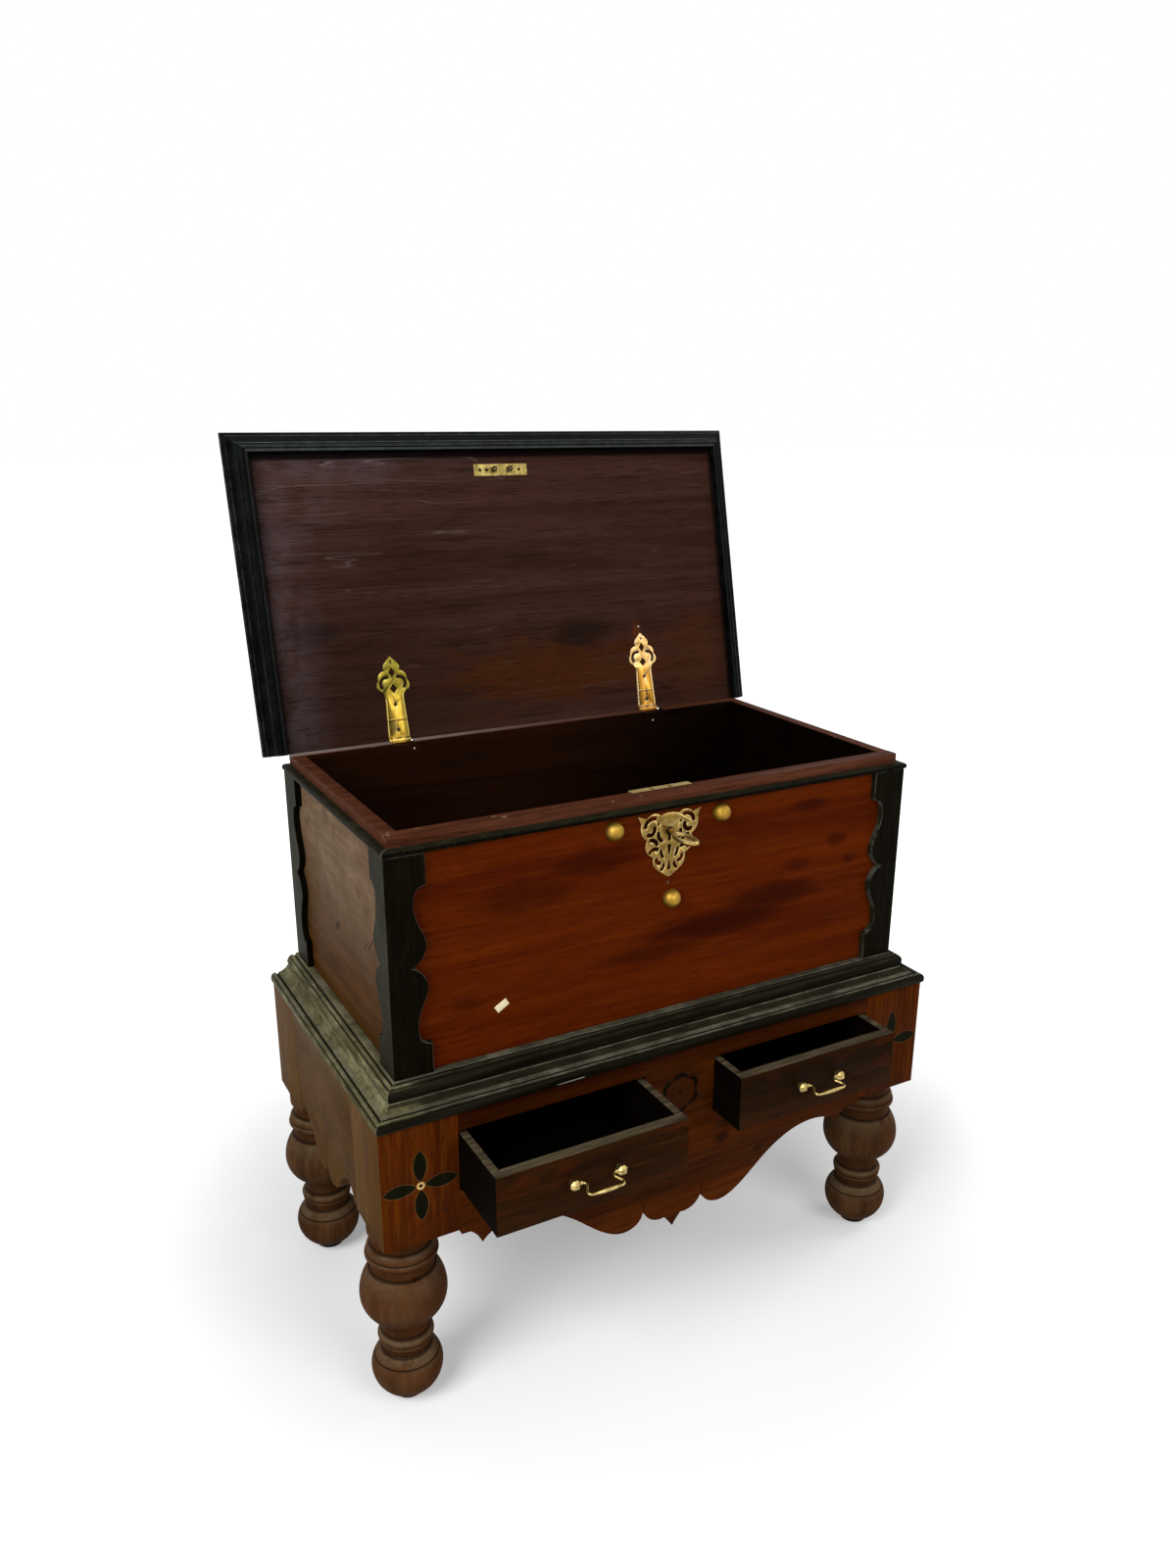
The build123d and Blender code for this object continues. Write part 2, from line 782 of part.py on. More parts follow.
# ---- Corner straps: shaped overlays, mitred round the front corners --------
def strap_face():
    """A strap's outline from the corner's edge, mirrored above and below its cusp."""
    half_height = (strap_top - strap_bottom) / 2
    shoulder = half_height - strap_plain
    neck_top = shoulder - strap_step
    upper = [
        Line((0, 0), (0, half_height)),
        Line((0, half_height), (strap_wide, half_height)),
        Line((strap_wide, half_height), (strap_wide, shoulder)),
        ThreePointArc(
            (strap_wide, shoulder), (strap_neck + 6.4, shoulder - 4.1), (strap_neck + 1, neck_top)
        ),
        Spline(
            (strap_neck + 1, neck_top),
            (strap_neck, neck_top * 0.81),
            (strap_neck + 6, neck_top * 0.6),
            (strap_belly, neck_top * 0.31),
            (strap_belly - 7.5, neck_top * 0.11),
            (strap_cusp, 0),
        ),
    ]
    lower = [mirror(edge, about=Plane.XZ) for edge in upper]
    return make_face([*upper, *lower])


strap_middle = (strap_bottom + strap_top) / 2
strap_zone_z = (strap_bottom - 1, strap_top + 1)
strap_zones = {
    run: mitre_zone(
        run, strap_half, strap_front, chest_back, strap_thickness, 1, *strap_zone_z
    )
    for run in ("front", "right")
}
front_strap_face = Pos(strap_half, strap_middle) * Rot(0, 180, 0) * strap_face()
front_strap = slab_front(front_strap_face, strap_front, chest_front) & strap_zones["front"]
side_strap_face = Pos(strap_front, strap_middle) * strap_face()
side_strap = slab_side(side_strap_face, chest_half_width, strap_half) & strap_zones["right"]
back_strap_face = Pos(chest_back, strap_middle) * Rot(0, 180, 0) * strap_face()
back_strap = slab_side(back_strap_face, chest_half_width, strap_half)
pieces["corner_strap_front_right"] = group([front_strap, side_strap])
pieces["corner_strap_front_left"] = group([mirrored(front_strap), mirrored(side_strap)])
pieces["corner_straps_back"] = group([back_strap, mirrored(back_strap)])


# ---- Hinges: pierced leaves, knuckles and pins ------------------------------
def leaf_face():
    """A hinge leaf: tapered strap, flared double lobe and pointed tip, pierced.

    It is drawn 140 long and 39 wide at its foot.
    """

    def at(across, along):
        return (across * leaf_half_width / 19.5, along * leaf_length / 140)

    def scroll(side):
        """A curved piercing beside the middle of the lobe."""
        ends = (at(side * 9.5, 104), at(side * 21.5, 97), at(side * 20, 86.5))
        return SlotArc(ThreePointArc(*ends), 5.6)

    right = [
        Polyline(at(0, 0), at(19.5, 0), at(16.4, 70)),
        ThreePointArc(at(16.4, 70), at(19.6, 77.4), at(27, 82.6)),
        ThreePointArc(at(27, 82.6), at(29.3, 91), at(25.4, 99.5)),
        ThreePointArc(at(25.4, 99.5), at(23.6, 109.5), at(13, 115.5)),
        ThreePointArc(at(13, 115.5), at(14.4, 121.5), at(12.7, 127)),
        ThreePointArc(at(12.7, 127), at(7.2, 132.6), at(0, 140)),
    ]
    holes = [Pos(*at(0, along)) * Circle(nail_hole_radius) for along in (13, 57, 129)]
    holes += [
        polygon(at(0, 103), at(6, 112.4), at(0, 121.7), at(-6, 112.4)),
        polygon(at(0, 76.4), at(7, 84.7), at(0, 93), at(-7, 84.7)),
        scroll(1),
        scroll(-1),
    ]
    return cut(symmetric_face(right), *holes)


def knuckle_span(place):
    """The X range of one knuckle, counted from the left end of the hinge."""
    pitch = 2 * leaf_half_width / knuckle_count
    start = -leaf_half_width + place * pitch
    return start + knuckle_gap / 2, start + pitch - knuckle_gap / 2


def knuckles(places, bore, web_y, web_z):
    """The chosen knuckles of the hinge at X = 0, each with its web to the leaf."""
    made = []
    for place in places:
        x0, x1 = knuckle_span(place)
        barrel = rod((x0, hinge_y, hinge_z), (x1, hinge_y, hinge_z), knuckle_radius)
        web = block(x0, x1, web_y, hinge_y, *web_z)
        bored = rod((x0, hinge_y, hinge_z), (x1, hinge_y, hinge_z), bore)
        made.append(joined(barrel, web) - bored)
    return made


leaf_top = rim_top - hinge_notch_depth
body_leaf = slab_front(
    Pos(0, leaf_top) * Rot(180, 0, 0) * leaf_face(), chest_back, chest_back + body_leaf_thickness
)
body_places = range(0, knuckle_count, 2)
lid_places = range(1, knuckle_count, 2)
body_web_z = (hinge_z - knuckle_radius, hinge_z - knuckle_radius + body_leaf_thickness)
body_knuckles = knuckles(body_places, pin_radius, chest_back, body_web_z)
body_hinge = joined(body_leaf, *body_knuckles)
lid_leaf = slab_flat(
    Pos(0, leaf_start) * Rot(180, 0, 0) * leaf_face(), lid_under - lid_leaf_thickness, lid_under
)
lid_web_z = (lid_under - lid_leaf_thickness, lid_under)
lid_knuckles = knuckles(lid_places, pin_radius + pin_gap, leaf_start - 1, lid_web_z)
lid_hinge = joined(lid_leaf, *lid_knuckles)
pin_half = leaf_half_width + pin_end
hinge_pin = rod((-pin_half, hinge_y, hinge_z), (pin_half, hinge_y, hinge_z), pin_radius)
hinge_spots = [Pos(side * hinge_x, 0, 0) for side in (-1, 1)]
pieces["hinge_body_leaves"] = group([spot * body_hinge for spot in hinge_spots])
pieces["hinge_pins"] = group([spot * hinge_pin for spot in hinge_spots])
pieces["hinge_lid_leaves"] = group([spot * lid_hinge for spot in hinge_spots])


# ---- Lock: case with its pin, selvedge plate, bolt and staples --------------
def staple():
    """A wire loop hung from the lid at X = 0, with its two shanks in the wood."""
    shank_top = lid_under + staple_shank
    front_y, back_y = staple_y - staple_half_gap, staple_y + staple_half_gap
    eye_bottom = staple_eye_z - staple_half_gap
    path = Line((front_y, shank_top), (front_y, staple_eye_z)) + [
        ThreePointArc((front_y, staple_eye_z), (staple_y, eye_bottom), (back_y, staple_eye_z)),
        Line((back_y, staple_eye_z), (back_y, shank_top)),
    ]
    route = Plane.YZ * Wire(path.edges())
    section = Plane(origin=(0, front_y, shank_top), z_dir=(0, 0, -1)) * Circle(staple_wire)
    return sweep(section, path=route)


staples = [Pos(x, 0, 0) * staple() for x in staple_xs]
slots = [
    block(
        x - staple_wire - slot_side_gap,
        x + staple_wire + slot_side_gap,
        staple_y - staple_half_gap - staple_wire - slot_end_gap,
        staple_y + staple_half_gap + staple_wire + slot_end_gap,
        lock_top - lock_wall,
        rim_top,
    )
    for x in staple_xs
]
case_x = (lock_x - lock_half_width, lock_x + lock_half_width)
plate_x = (lock_x - plate_half_width, lock_x + plate_half_width)
case_room = block(
    case_x[0] + lock_wall,
    case_x[1] - lock_wall,
    lock_front + lock_wall,
    lock_back - lock_wall,
    lock_bottom + lock_wall,
    lock_top - lock_wall,
)
finger_z = (staple_eye_z - bolt_finger_drop, staple_eye_z - bolt_finger_drop + bolt_finger_height)
rail_z = (finger_z[0] - bolt_rail_below - bolt_rail_height, finger_z[0] - bolt_rail_below)
bolt_y = (staple_y - bolt_thickness / 2, staple_y + bolt_thickness / 2)
shelf_z = (rail_z[0] - bolt_seat_gap - bolt_shelf_thickness, rail_z[0] - bolt_seat_gap)
talon_reach = bolt_talon_half_width + bolt_talon_travel
shelf_y = (lock_front + lock_wall, lock_back - lock_wall)
shelf_left = block(case_x[0] + lock_wall, -talon_reach, *shelf_y, *shelf_z)
shelf_right = block(talon_reach, case_x[1] - lock_wall, *shelf_y, *shelf_z)


def keyhole(y0, y1):
    """The keyhole's round top and its slot, between two Y planes."""
    round_top = rod((0, y0, key_height), (0, y1, key_height), keyhole_radius)
    half = keyhole_slot / 2
    return joined(round_top, block(-half, half, y0, y1, key_height - keyhole_drop, key_height))


lock_pin_start = (0, lock_back - lock_wall / 2, key_height)
lock_pin_end = (0, lock_back - lock_wall - lock_pin_length, key_height)
case = block(*case_x, lock_front, lock_back, lock_bottom, lock_top)
case = cut(case, case_room, *slots, keyhole(lock_front - 1, lock_front + lock_wall))
lock_pin = rod(lock_pin_start, lock_pin_end, lock_pin_radius)
pieces["lock_case"] = joined(case, shelf_left, shelf_right, lock_pin)
selvedge = block(*plate_x, lock_front, lock_back, lock_top, rim_top)
pieces["selvedge_plate"] = cut(selvedge, *slots)

bolt_parts = []
for x in staple_xs:
    tip = x - staple_wire - bolt_to_staple
    root = tip - bolt_finger_length
    bolt_parts.append(block(root, tip, *bolt_y, *finger_z))
    bolt_parts.append(block(root - bolt_riser_width, root, *bolt_y, rail_z[0], finger_z[1]))
rail_start = staple_xs[0] - staple_wire - bolt_to_staple - bolt_finger_length - bolt_riser_width
bolt_parts.append(block(rail_start, talon_reach + bolt_riser_width, *bolt_y, *rail_z))
talon_bottom = key_height + key_bit_reach + talon_to_bit
bolt_parts.append(
    block(-bolt_talon_half_width, bolt_talon_half_width, *bolt_y, talon_bottom, rail_z[1])
)
pieces["lock_bolt"] = joined(*bolt_parts)


# ---- Key: hollow shank, bit and openwork bow, turned as it stands ----------
def key():
    """The key with its oval ring bow, in its hole, bit down, before it is turned."""
    end_y = lock_back - lock_wall - key_end_gap
    bow_y = end_y - key_shank_length
    shank = rod((0, end_y, key_height), (0, bow_y - key_shank_in_bow, key_height), key_radius)
    bore_end = (0, end_y - key_bore_depth, key_height)
    bore = rod((0, end_y, key_height), bore_end, lock_pin_radius + lock_pin_gap)
    collar_end = (0, bow_y + key_collar_width, key_height)
    collar = rod((0, bow_y, key_height), collar_end, key_radius + key_collar_proud)
    half_bit = key_bit_thickness / 2
    bit_y = end_y - key_bit_inset
    bit = block(
        -half_bit,
        half_bit,
        bit_y - key_bit_width,
        bit_y,
        key_height - key_bit_reach,
        key_height - key_radius / 2,
    )
    half_length = key_bow_length / 2
    bow_middle = (bow_y - half_length, key_height)
    oval = Ellipse(half_length, key_bow_half_width)
    window = Ellipse(half_length - key_bow_rim, key_bow_half_width - key_bow_rim)
    half_bow = key_bow_thickness / 2
    bow = slab_side(Pos(*bow_middle) * (oval - window), -half_bow, half_bow)
    rims = bow.edges().filter_by(GeomType.ELLIPSE)
    bow = chamfer(rims, key_bow_chamfer)
    return joined(shank, collar, bow, bit) - bore


key_line = Axis((0, 0, key_height), (0, 1, 0))
pieces["key"] = key().rotate(key_line, key_turned)


# ---- Escutcheon and domed bosses on the front -------------------------------
def on_escutcheon(x, z):
    """A point of the plate, drawn 104 high with the key's axis at 864 of 789 to 893."""
    scale = escutcheon_height / 104
    return (x * scale, key_height + (z - 864) * scale)


def escutcheon_face():
    """The lock's pierced plate: horned top, scrolled sides and a tapering foot."""
    at = on_escutcheon
    right = [
        ThreePointArc(at(0, 893), at(9, 892.2), at(16, 890)),
        ThreePointArc(at(16, 890), at(31, 894.2), at(41, 888)),
        Polyline(at(41, 888), at(56, 894), at(50.5, 881)),
        ThreePointArc(at(50.5, 881), at(50.2, 868), at(39.5, 853)),
        ThreePointArc(at(39.5, 853), at(41.5, 838), at(28, 825)),
        ThreePointArc(at(28, 825), at(27.5, 812), at(18, 801)),
        ThreePointArc(at(18, 801), at(9.5, 794.5), at(0, 789)),
    ]
    return symmetric_face(right)


def scroll_hole(width, *curve):
    """One curved piercing of the escutcheon, through three points, with round ends."""
    points = [on_escutcheon(x, z) for x, z in curve]
    return slab_front(SlotArc(ThreePointArc(*points), width * escutcheon_height / 104), *plate_y)


def plate_hole(*corners):
    """A straight-sided piercing on the escutcheon's middle line."""
    return slab_front(polygon(*[on_escutcheon(x, z) for x, z in corners]), *plate_y)


def round_hole(x, z, radius):
    """A round piercing of the escutcheon."""
    return slab_front(Pos(*on_escutcheon(x, z)) * Circle(radius), *plate_y)


plate_y = (chest_front - escutcheon_thickness, chest_front)
right_holes = [
    scroll_hole(6.6, (26, 887), (37.5, 885), (43, 875.5)),
    round_hole(20, 877, 2.4),
    scroll_hole(7.0, (27, 871.5), (29, 863.5), (38, 862)),
    scroll_hole(6.4, (19.8, 862), (18.6, 855), (14, 849.5)),
    scroll_hole(6.8, (22.5, 845.5), (27, 851), (33, 853)),
    scroll_hole(6.6, (21.5, 836.5), (27.5, 838), (34, 833.5)),
    scroll_hole(5.4, (14.8, 833), (14, 828), (11.5, 823)),
    scroll_hole(6.4, (23, 820.5), (21.5, 816), (17, 813.5)),
    scroll_hole(5.4, (9.5, 810), (10.5, 806), (13.5, 802.5)),
]
left_holes = [mirrored(hole) for hole in right_holes]
middle_holes = [
    plate_hole((-4.2, 842), (4.2, 842), (1.6, 825), (-1.6, 825)),
    plate_hole((-1.2, 816), (1.2, 816), (3.6, 800.5), (-3.6, 800.5)),
    round_hole(0, 793.5, 1.4),
]
escutcheon = slab_front(escutcheon_face(), *plate_y)
pieces["escutcheon"] = cut(
    escutcheon, keyhole(plate_y[0] - 1, plate_y[1] + 1), *right_holes, *left_holes, *middle_holes
)


def boss():
    """A nail with a high dome on a short skirt, on the front face, at X = Z = 0."""
    skirt_y = chest_front - boss_skirt
    ball = Pos(0, skirt_y, 0) * Sphere(boss_radius)
    room = block(
        -boss_radius, boss_radius, skirt_y - boss_radius, skirt_y, -boss_radius, boss_radius
    )
    skirt = rod((0, skirt_y, 0), (0, chest_front, 0), boss_radius)
    shank_start = (0, chest_front - 1, 0)
    shank_end = (0, chest_front + boss_shank_length, 0)
    return joined(ball & room, skirt, rod(shank_start, shank_end, boss_shank_radius))


boss_upper_z = key_height + boss_above_key
boss_spots = [
    (lock_x - boss_spread, boss_upper_z),
    (lock_x + boss_spread, boss_upper_z),
    (boss_lower_x, key_height - boss_below_key),
]
bosses = [Pos(x, 0, z) * boss() for x, z in boss_spots]
pieces["boss_nails"] = group(bosses)


# ---- Chest: five boards, dovetailed at the corners --------------------------
def tails(base_y, tip_y):
    """The dovetails at one end of the right side board, wider at their tips."""
    pitch = chest_height / tail_count
    base_half = pitch * tail_share / 2
    tip_half = base_half + board / tail_slope
    made = []
    for count in range(tail_count):
        middle = moulding_top + pitch * (count + 0.5)
        outline = polygon(
            (base_y, middle - base_half),
            (tip_y, middle - tip_half),
            (tip_y, middle + tip_half),
            (base_y, middle + base_half),
        )
        made.append(slab_side(outline, inner_half, chest_half_width))
    return made


front_tails = tails(inner_front, chest_front)
back_tails = tails(inner_back, chest_back)
side_board = block(inner_half, chest_half_width, inner_front, inner_back, moulding_top, rim_top)
side_board = joined(side_board, *front_tails, *back_tails)
pieces["chest_right_board"] = side_board
pieces["chest_left_board"] = mirrored(side_board)

chest_x = (-chest_half_width, chest_half_width)
lock_recess = block(*case_x, lock_front, inner_front, lock_bottom, rim_top)
plate_recess = block(*plate_x, lock_front, inner_front, lock_top, rim_top)
front_board = block(*chest_x, chest_front, inner_front, moulding_top, rim_top)
front_board = cut(front_board, *front_tails, *[mirrored(tail) for tail in front_tails])
keyway = keyhole(chest_front - 1, inner_front + 1)
pieces["chest_front_board"] = cut(front_board, lock_recess, plate_recess, keyway, *bosses)

notch_half = leaf_half_width + hinge_notch_gap
notches = [
    block(
        side * hinge_x - notch_half,
        side * hinge_x + notch_half,
        inner_back,
        chest_back,
        rim_top - hinge_notch_depth,
        rim_top,
    )
    for side in (-1, 1)
]
back_board = block(*chest_x, inner_back, chest_back, moulding_top, rim_top)
back_board = cut(back_board, *back_tails, *[mirrored(tail) for tail in back_tails])
pieces["chest_back_board"] = cut(back_board, *notches)
pieces["chest_bottom_board"] = block(
    -inner_half, inner_half, inner_front, inner_back, moulding_top, moulding_top + board
)

# ---- Lid: panel, three mouldings, plate and staples, made closed -----------
lid_plate = block(
    lock_x - lid_plate_half_width,
    lock_x + lid_plate_half_width,
    staple_y - lid_plate_width / 2,
    staple_y + lid_plate_width / 2,
    lid_under,
    lid_under + plate_thickness,
)
plate_nail_holes = [
    rod(
        (lock_x + offset, staple_y, lid_under),
        (lock_x + offset, staple_y, lid_under + plate_thickness),
        nail_hole_radius,
    )
    for offset in plate_nail_offsets
]
barrel_rooms = [
    rod(
        (side * hinge_x - notch_half, hinge_y, hinge_z),
        (side * hinge_x + notch_half, hinge_y, hinge_z),
        knuckle_radius + barrel_room,
    )
    for side in (-1, 1)
]
panel = block(-lid_inner_half, lid_inner_half, lid_inner_front, lid_back, lid_under, lid_top)
pieces["lid_panel"] = cut(panel, lid_plate, *staples, *barrel_rooms)
pieces["lid_plate"] = cut(lid_plate, *staples, *plate_nail_holes)
pieces["lid_staples"] = group(staples)


def lid_run(run):
    """One run of the lid's moulding, on the edges of its panel."""
    return border_run(
        lid_moulding_profile(),
        run,
        lid_inner_half,
        lid_inner_front,
        lid_back,
        lid_under - lid_moulding_drop,
        lid_top,
        0,
        lid_moulding_width,
    )


pieces["lid_moulding_front"] = lid_run("front")
pieces["lid_moulding_sides"] = group([lid_run("left"), lid_run("right")])


# ---- Drawers, made closed ---------------------------------------------------
def handle_post():
    """A faceted head on a stem with its nut inside, at X = 0, eye towards +X."""
    inner_face = stand_front + drawer_front_thickness
    head_y = stand_front - head_out
    head = Box(head_size, head_size, head_size)
    head = Pos(0, head_y, handle_height) * chamfer(head.edges(), head_chamfer)
    stem_end = (0, inner_face + nut_thickness + stem_past_nut, handle_height)
    stem = rod((0, head_y, handle_height), stem_end, stem_radius)
    half_nut = nut_size / 2
    nut = block(
        -half_nut,
        half_nut,
        inner_face,
        inner_face + nut_thickness,
        handle_height - half_nut,
        handle_height + half_nut,
    )
    eye_end = (head_size, head_y, handle_height)
    eye = rod((-1, head_y, handle_height), eye_end, bail_wire + bail_pin_gap)
    return joined(head, stem, nut) - eye


def bail():
    """A swan-necked bail about X = 0, hanging, its pins level with the heads."""
    route = FilletPolyline(
        (handle_half_span, 0),
        (bail_eye_inset, 0),
        (bail_corner, -bail_depth),
        (-bail_corner, -bail_depth),
        (-bail_eye_inset, 0),
        (-handle_half_span, 0),
        radius=bail_bend,
    )
    section = Plane(origin=(handle_half_span, 0, 0), z_dir=(-1, 0, 0)) * Circle(bail_wire)
    wire = sweep(section, path=route)
    grip_outline = [
        ThreePointArc((-bail_grip_half, bail_wire), (0, bail_grip), (bail_grip_half, bail_wire)),
        Polyline(
            (bail_grip_half, bail_wire),
            (bail_grip_half, 0),
            (-bail_grip_half, 0),
            (-bail_grip_half, bail_wire),
        ),
    ]
    grip = Pos(0, -bail_depth, 0) * revolve(make_face(grip_outline), Axis.X)
    collar_x = handle_half_span - head_size / 2 - bail_collar_gap
    collar = rod((collar_x, 0, 0), (collar_x - bail_collar_width, 0, 0), bail_collar)
    hanging = joined(wire, grip, collar, mirrored(collar))
    turned = Rot(90 - bail_lift, 0, 0) * hanging
    return Pos(0, stand_front - head_out, handle_height) * turned


def drawer(name, x0, x1, handle_x, out):
    """One drawer between two X planes, with its handle, pulled out by a length."""
    pulled = Pos(0, -out, 0)
    z0, z1 = drawer_bottom_z, drawer_top_z
    front_back = stand_front + drawer_front_thickness
    end = stand_front + drawer_length
    bottom_z = (z0 + drawer_bottom_up, z0 + drawer_bottom_up + drawer_bottom_thickness)
    bottom = block(
        x0 + drawer_wall - drawer_groove,
        x1 - drawer_wall + drawer_groove,
        front_back - drawer_groove,
        end,
        *bottom_z,
    )
    side_y = (front_back - drawer_lap, end)
    posts = [
        Pos(handle_x - handle_half_span, 0, 0) * handle_post(),
        Pos(handle_x + handle_half_span, 0, 0) * mirrored(handle_post()),
    ]
    front = block(x0, x1, stand_front, front_back, z0, z1)
    sides = [
        block(x0, x0 + drawer_wall, *side_y, z0, z1),
        block(x1 - drawer_wall, x1, *side_y, z0, z1),
    ]
    back = block(
        x0 + drawer_wall,
        x1 - drawer_wall,
        end - drawer_wall,
        end,
        bottom_z[1],
        z1 - drawer_back_lower,
    )
    pieces["drawer_" + name + "_front"] = pulled * cut(front, bottom, *sides, *posts)
    pieces["drawer_" + name + "_sides"] = pulled * group([side - bottom for side in sides])
    pieces["drawer_" + name + "_back"] = pulled * back
    pieces["drawer_" + name + "_bottom"] = pulled * bottom
    pieces["drawer_" + name + "_handle_posts"] = pulled * group(posts)
    pieces["bail_" + name] = pulled * Pos(handle_x, 0, 0) * bail()


near = stile_half_width + drawer_side_gap
far = opening_edge - drawer_side_gap
drawer("left", -far, -near, handle_left_x, drawer_left_out)
drawer("right", near, far, handle_right_x, drawer_right_out)

# ---- Rest pose, origin and files -------------------------------------------
for name in pieces:
    if name.startswith("lid_") or name == "hinge_lid_leaves":
        pieces[name] = pieces[name].rotate(hinge_line, -lid_open_angle)

whole = Compound([solid for piece in pieces.values() for solid in piece.solids()])
box = whole.bounding_box()
to_origin = Pos(0, -(box.min.Y + box.max.Y) / 2, 0)
os.makedirs("parts", exist_ok=True)
for name, piece in pieces.items():
    export_step(to_origin * piece, "parts/" + name + ".step")
print("moved along Y by", round(to_origin.position.Y, 3), "nodes", len(pieces))
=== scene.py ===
"""The dowry chest as it looks: old woods, black mouldings, brass and iron, on a pale floor."""
import json
from functools import reduce

import bmesh
import bpy
import numpy as np
from mathutils import Matrix, Vector

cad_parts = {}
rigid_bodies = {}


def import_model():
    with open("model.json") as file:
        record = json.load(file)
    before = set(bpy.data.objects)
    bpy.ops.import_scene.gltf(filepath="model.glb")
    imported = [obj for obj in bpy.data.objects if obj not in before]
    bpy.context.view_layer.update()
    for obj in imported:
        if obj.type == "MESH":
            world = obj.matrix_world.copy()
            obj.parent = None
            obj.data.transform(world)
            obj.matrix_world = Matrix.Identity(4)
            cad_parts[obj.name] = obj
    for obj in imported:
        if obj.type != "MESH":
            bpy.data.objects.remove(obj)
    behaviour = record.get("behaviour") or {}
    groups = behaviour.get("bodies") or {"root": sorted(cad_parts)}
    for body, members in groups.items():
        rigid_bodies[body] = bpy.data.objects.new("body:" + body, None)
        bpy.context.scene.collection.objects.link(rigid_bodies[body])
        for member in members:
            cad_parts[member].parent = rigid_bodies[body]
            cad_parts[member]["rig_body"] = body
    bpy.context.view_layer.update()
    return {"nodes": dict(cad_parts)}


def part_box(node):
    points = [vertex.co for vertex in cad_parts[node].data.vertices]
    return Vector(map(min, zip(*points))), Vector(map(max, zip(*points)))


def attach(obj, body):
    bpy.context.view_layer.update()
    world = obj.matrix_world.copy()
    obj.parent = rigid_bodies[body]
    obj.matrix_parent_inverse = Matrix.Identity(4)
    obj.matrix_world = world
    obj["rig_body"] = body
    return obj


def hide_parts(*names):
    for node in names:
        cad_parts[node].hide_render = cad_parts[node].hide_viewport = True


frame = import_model()
nodes = frame["nodes"]

# ---- Posts of the stand ------------------------------------------------------
# Four squared posts of an orange-brown hardwood, planed by hand. The grain runs
# upright, the arrises are worn round, and the sides have gone tan and dusty.

# Wood changes twenty times more slowly along its grain than across it.
GRAINS = {"x": (0.05, 1.0, 1.0), "y": (1.0, 0.05, 1.0), "z": (1.0, 1.0, 0.05)}
WOOD_SHEEN = 0.012
SAME_POINT = 2e-6
FLAT_ANGLE = 0.02
ARRIS_ANGLE = np.radians(28)


class Value:
    """A number or colour inside a finish; arithmetic on it adds its Math nodes."""

    def __init__(self, finish, socket):
        self.finish = finish
        self.socket = socket

    def math(self, operation, *others):
        return self.finish.node("Math", {"operation": operation}, self, *others)

    def __add__(self, other):
        return self.math("ADD", other)

    def __sub__(self, other):
        return self.math("SUBTRACT", other)

    def __rsub__(self, other):
        return self.finish.node("Math", {"operation": "SUBTRACT"}, other, self)

    def __mul__(self, other):
        return self.math("MULTIPLY", other)

    def __truediv__(self, other):
        return self.math("DIVIDE", other)

    def __pow__(self, other):
        return self.math("POWER", other)

    def __neg__(self):
        return self.math("MULTIPLY", -1.0)

    def __abs__(self):
        return self.math("ABSOLUTE")

    __radd__ = __add__
    __rmul__ = __mul__

    def least(self, other):
        return self.math("MINIMUM", other)

    def most(self, other):
        return self.math("MAXIMUM", other)

    def rise(self, low, high):
        """0 below low and 1 above high, with a soft step between (or the reverse)."""
        settings = {"interpolation_type": "SMOOTHSTEP"}
        return self.finish.node("MapRange", settings, self, low, high, 0.0, 1.0)

    def near(self, level, outer, inner):
        """1 within inner of a level and 0 beyond outer, with a soft step between."""
        return abs(self - level).rise(outer, inner)


def distance(across, up):
    """How far a point is from a middle: the root of the sum of the two squares."""
    return (across * across + up * up) ** 0.5


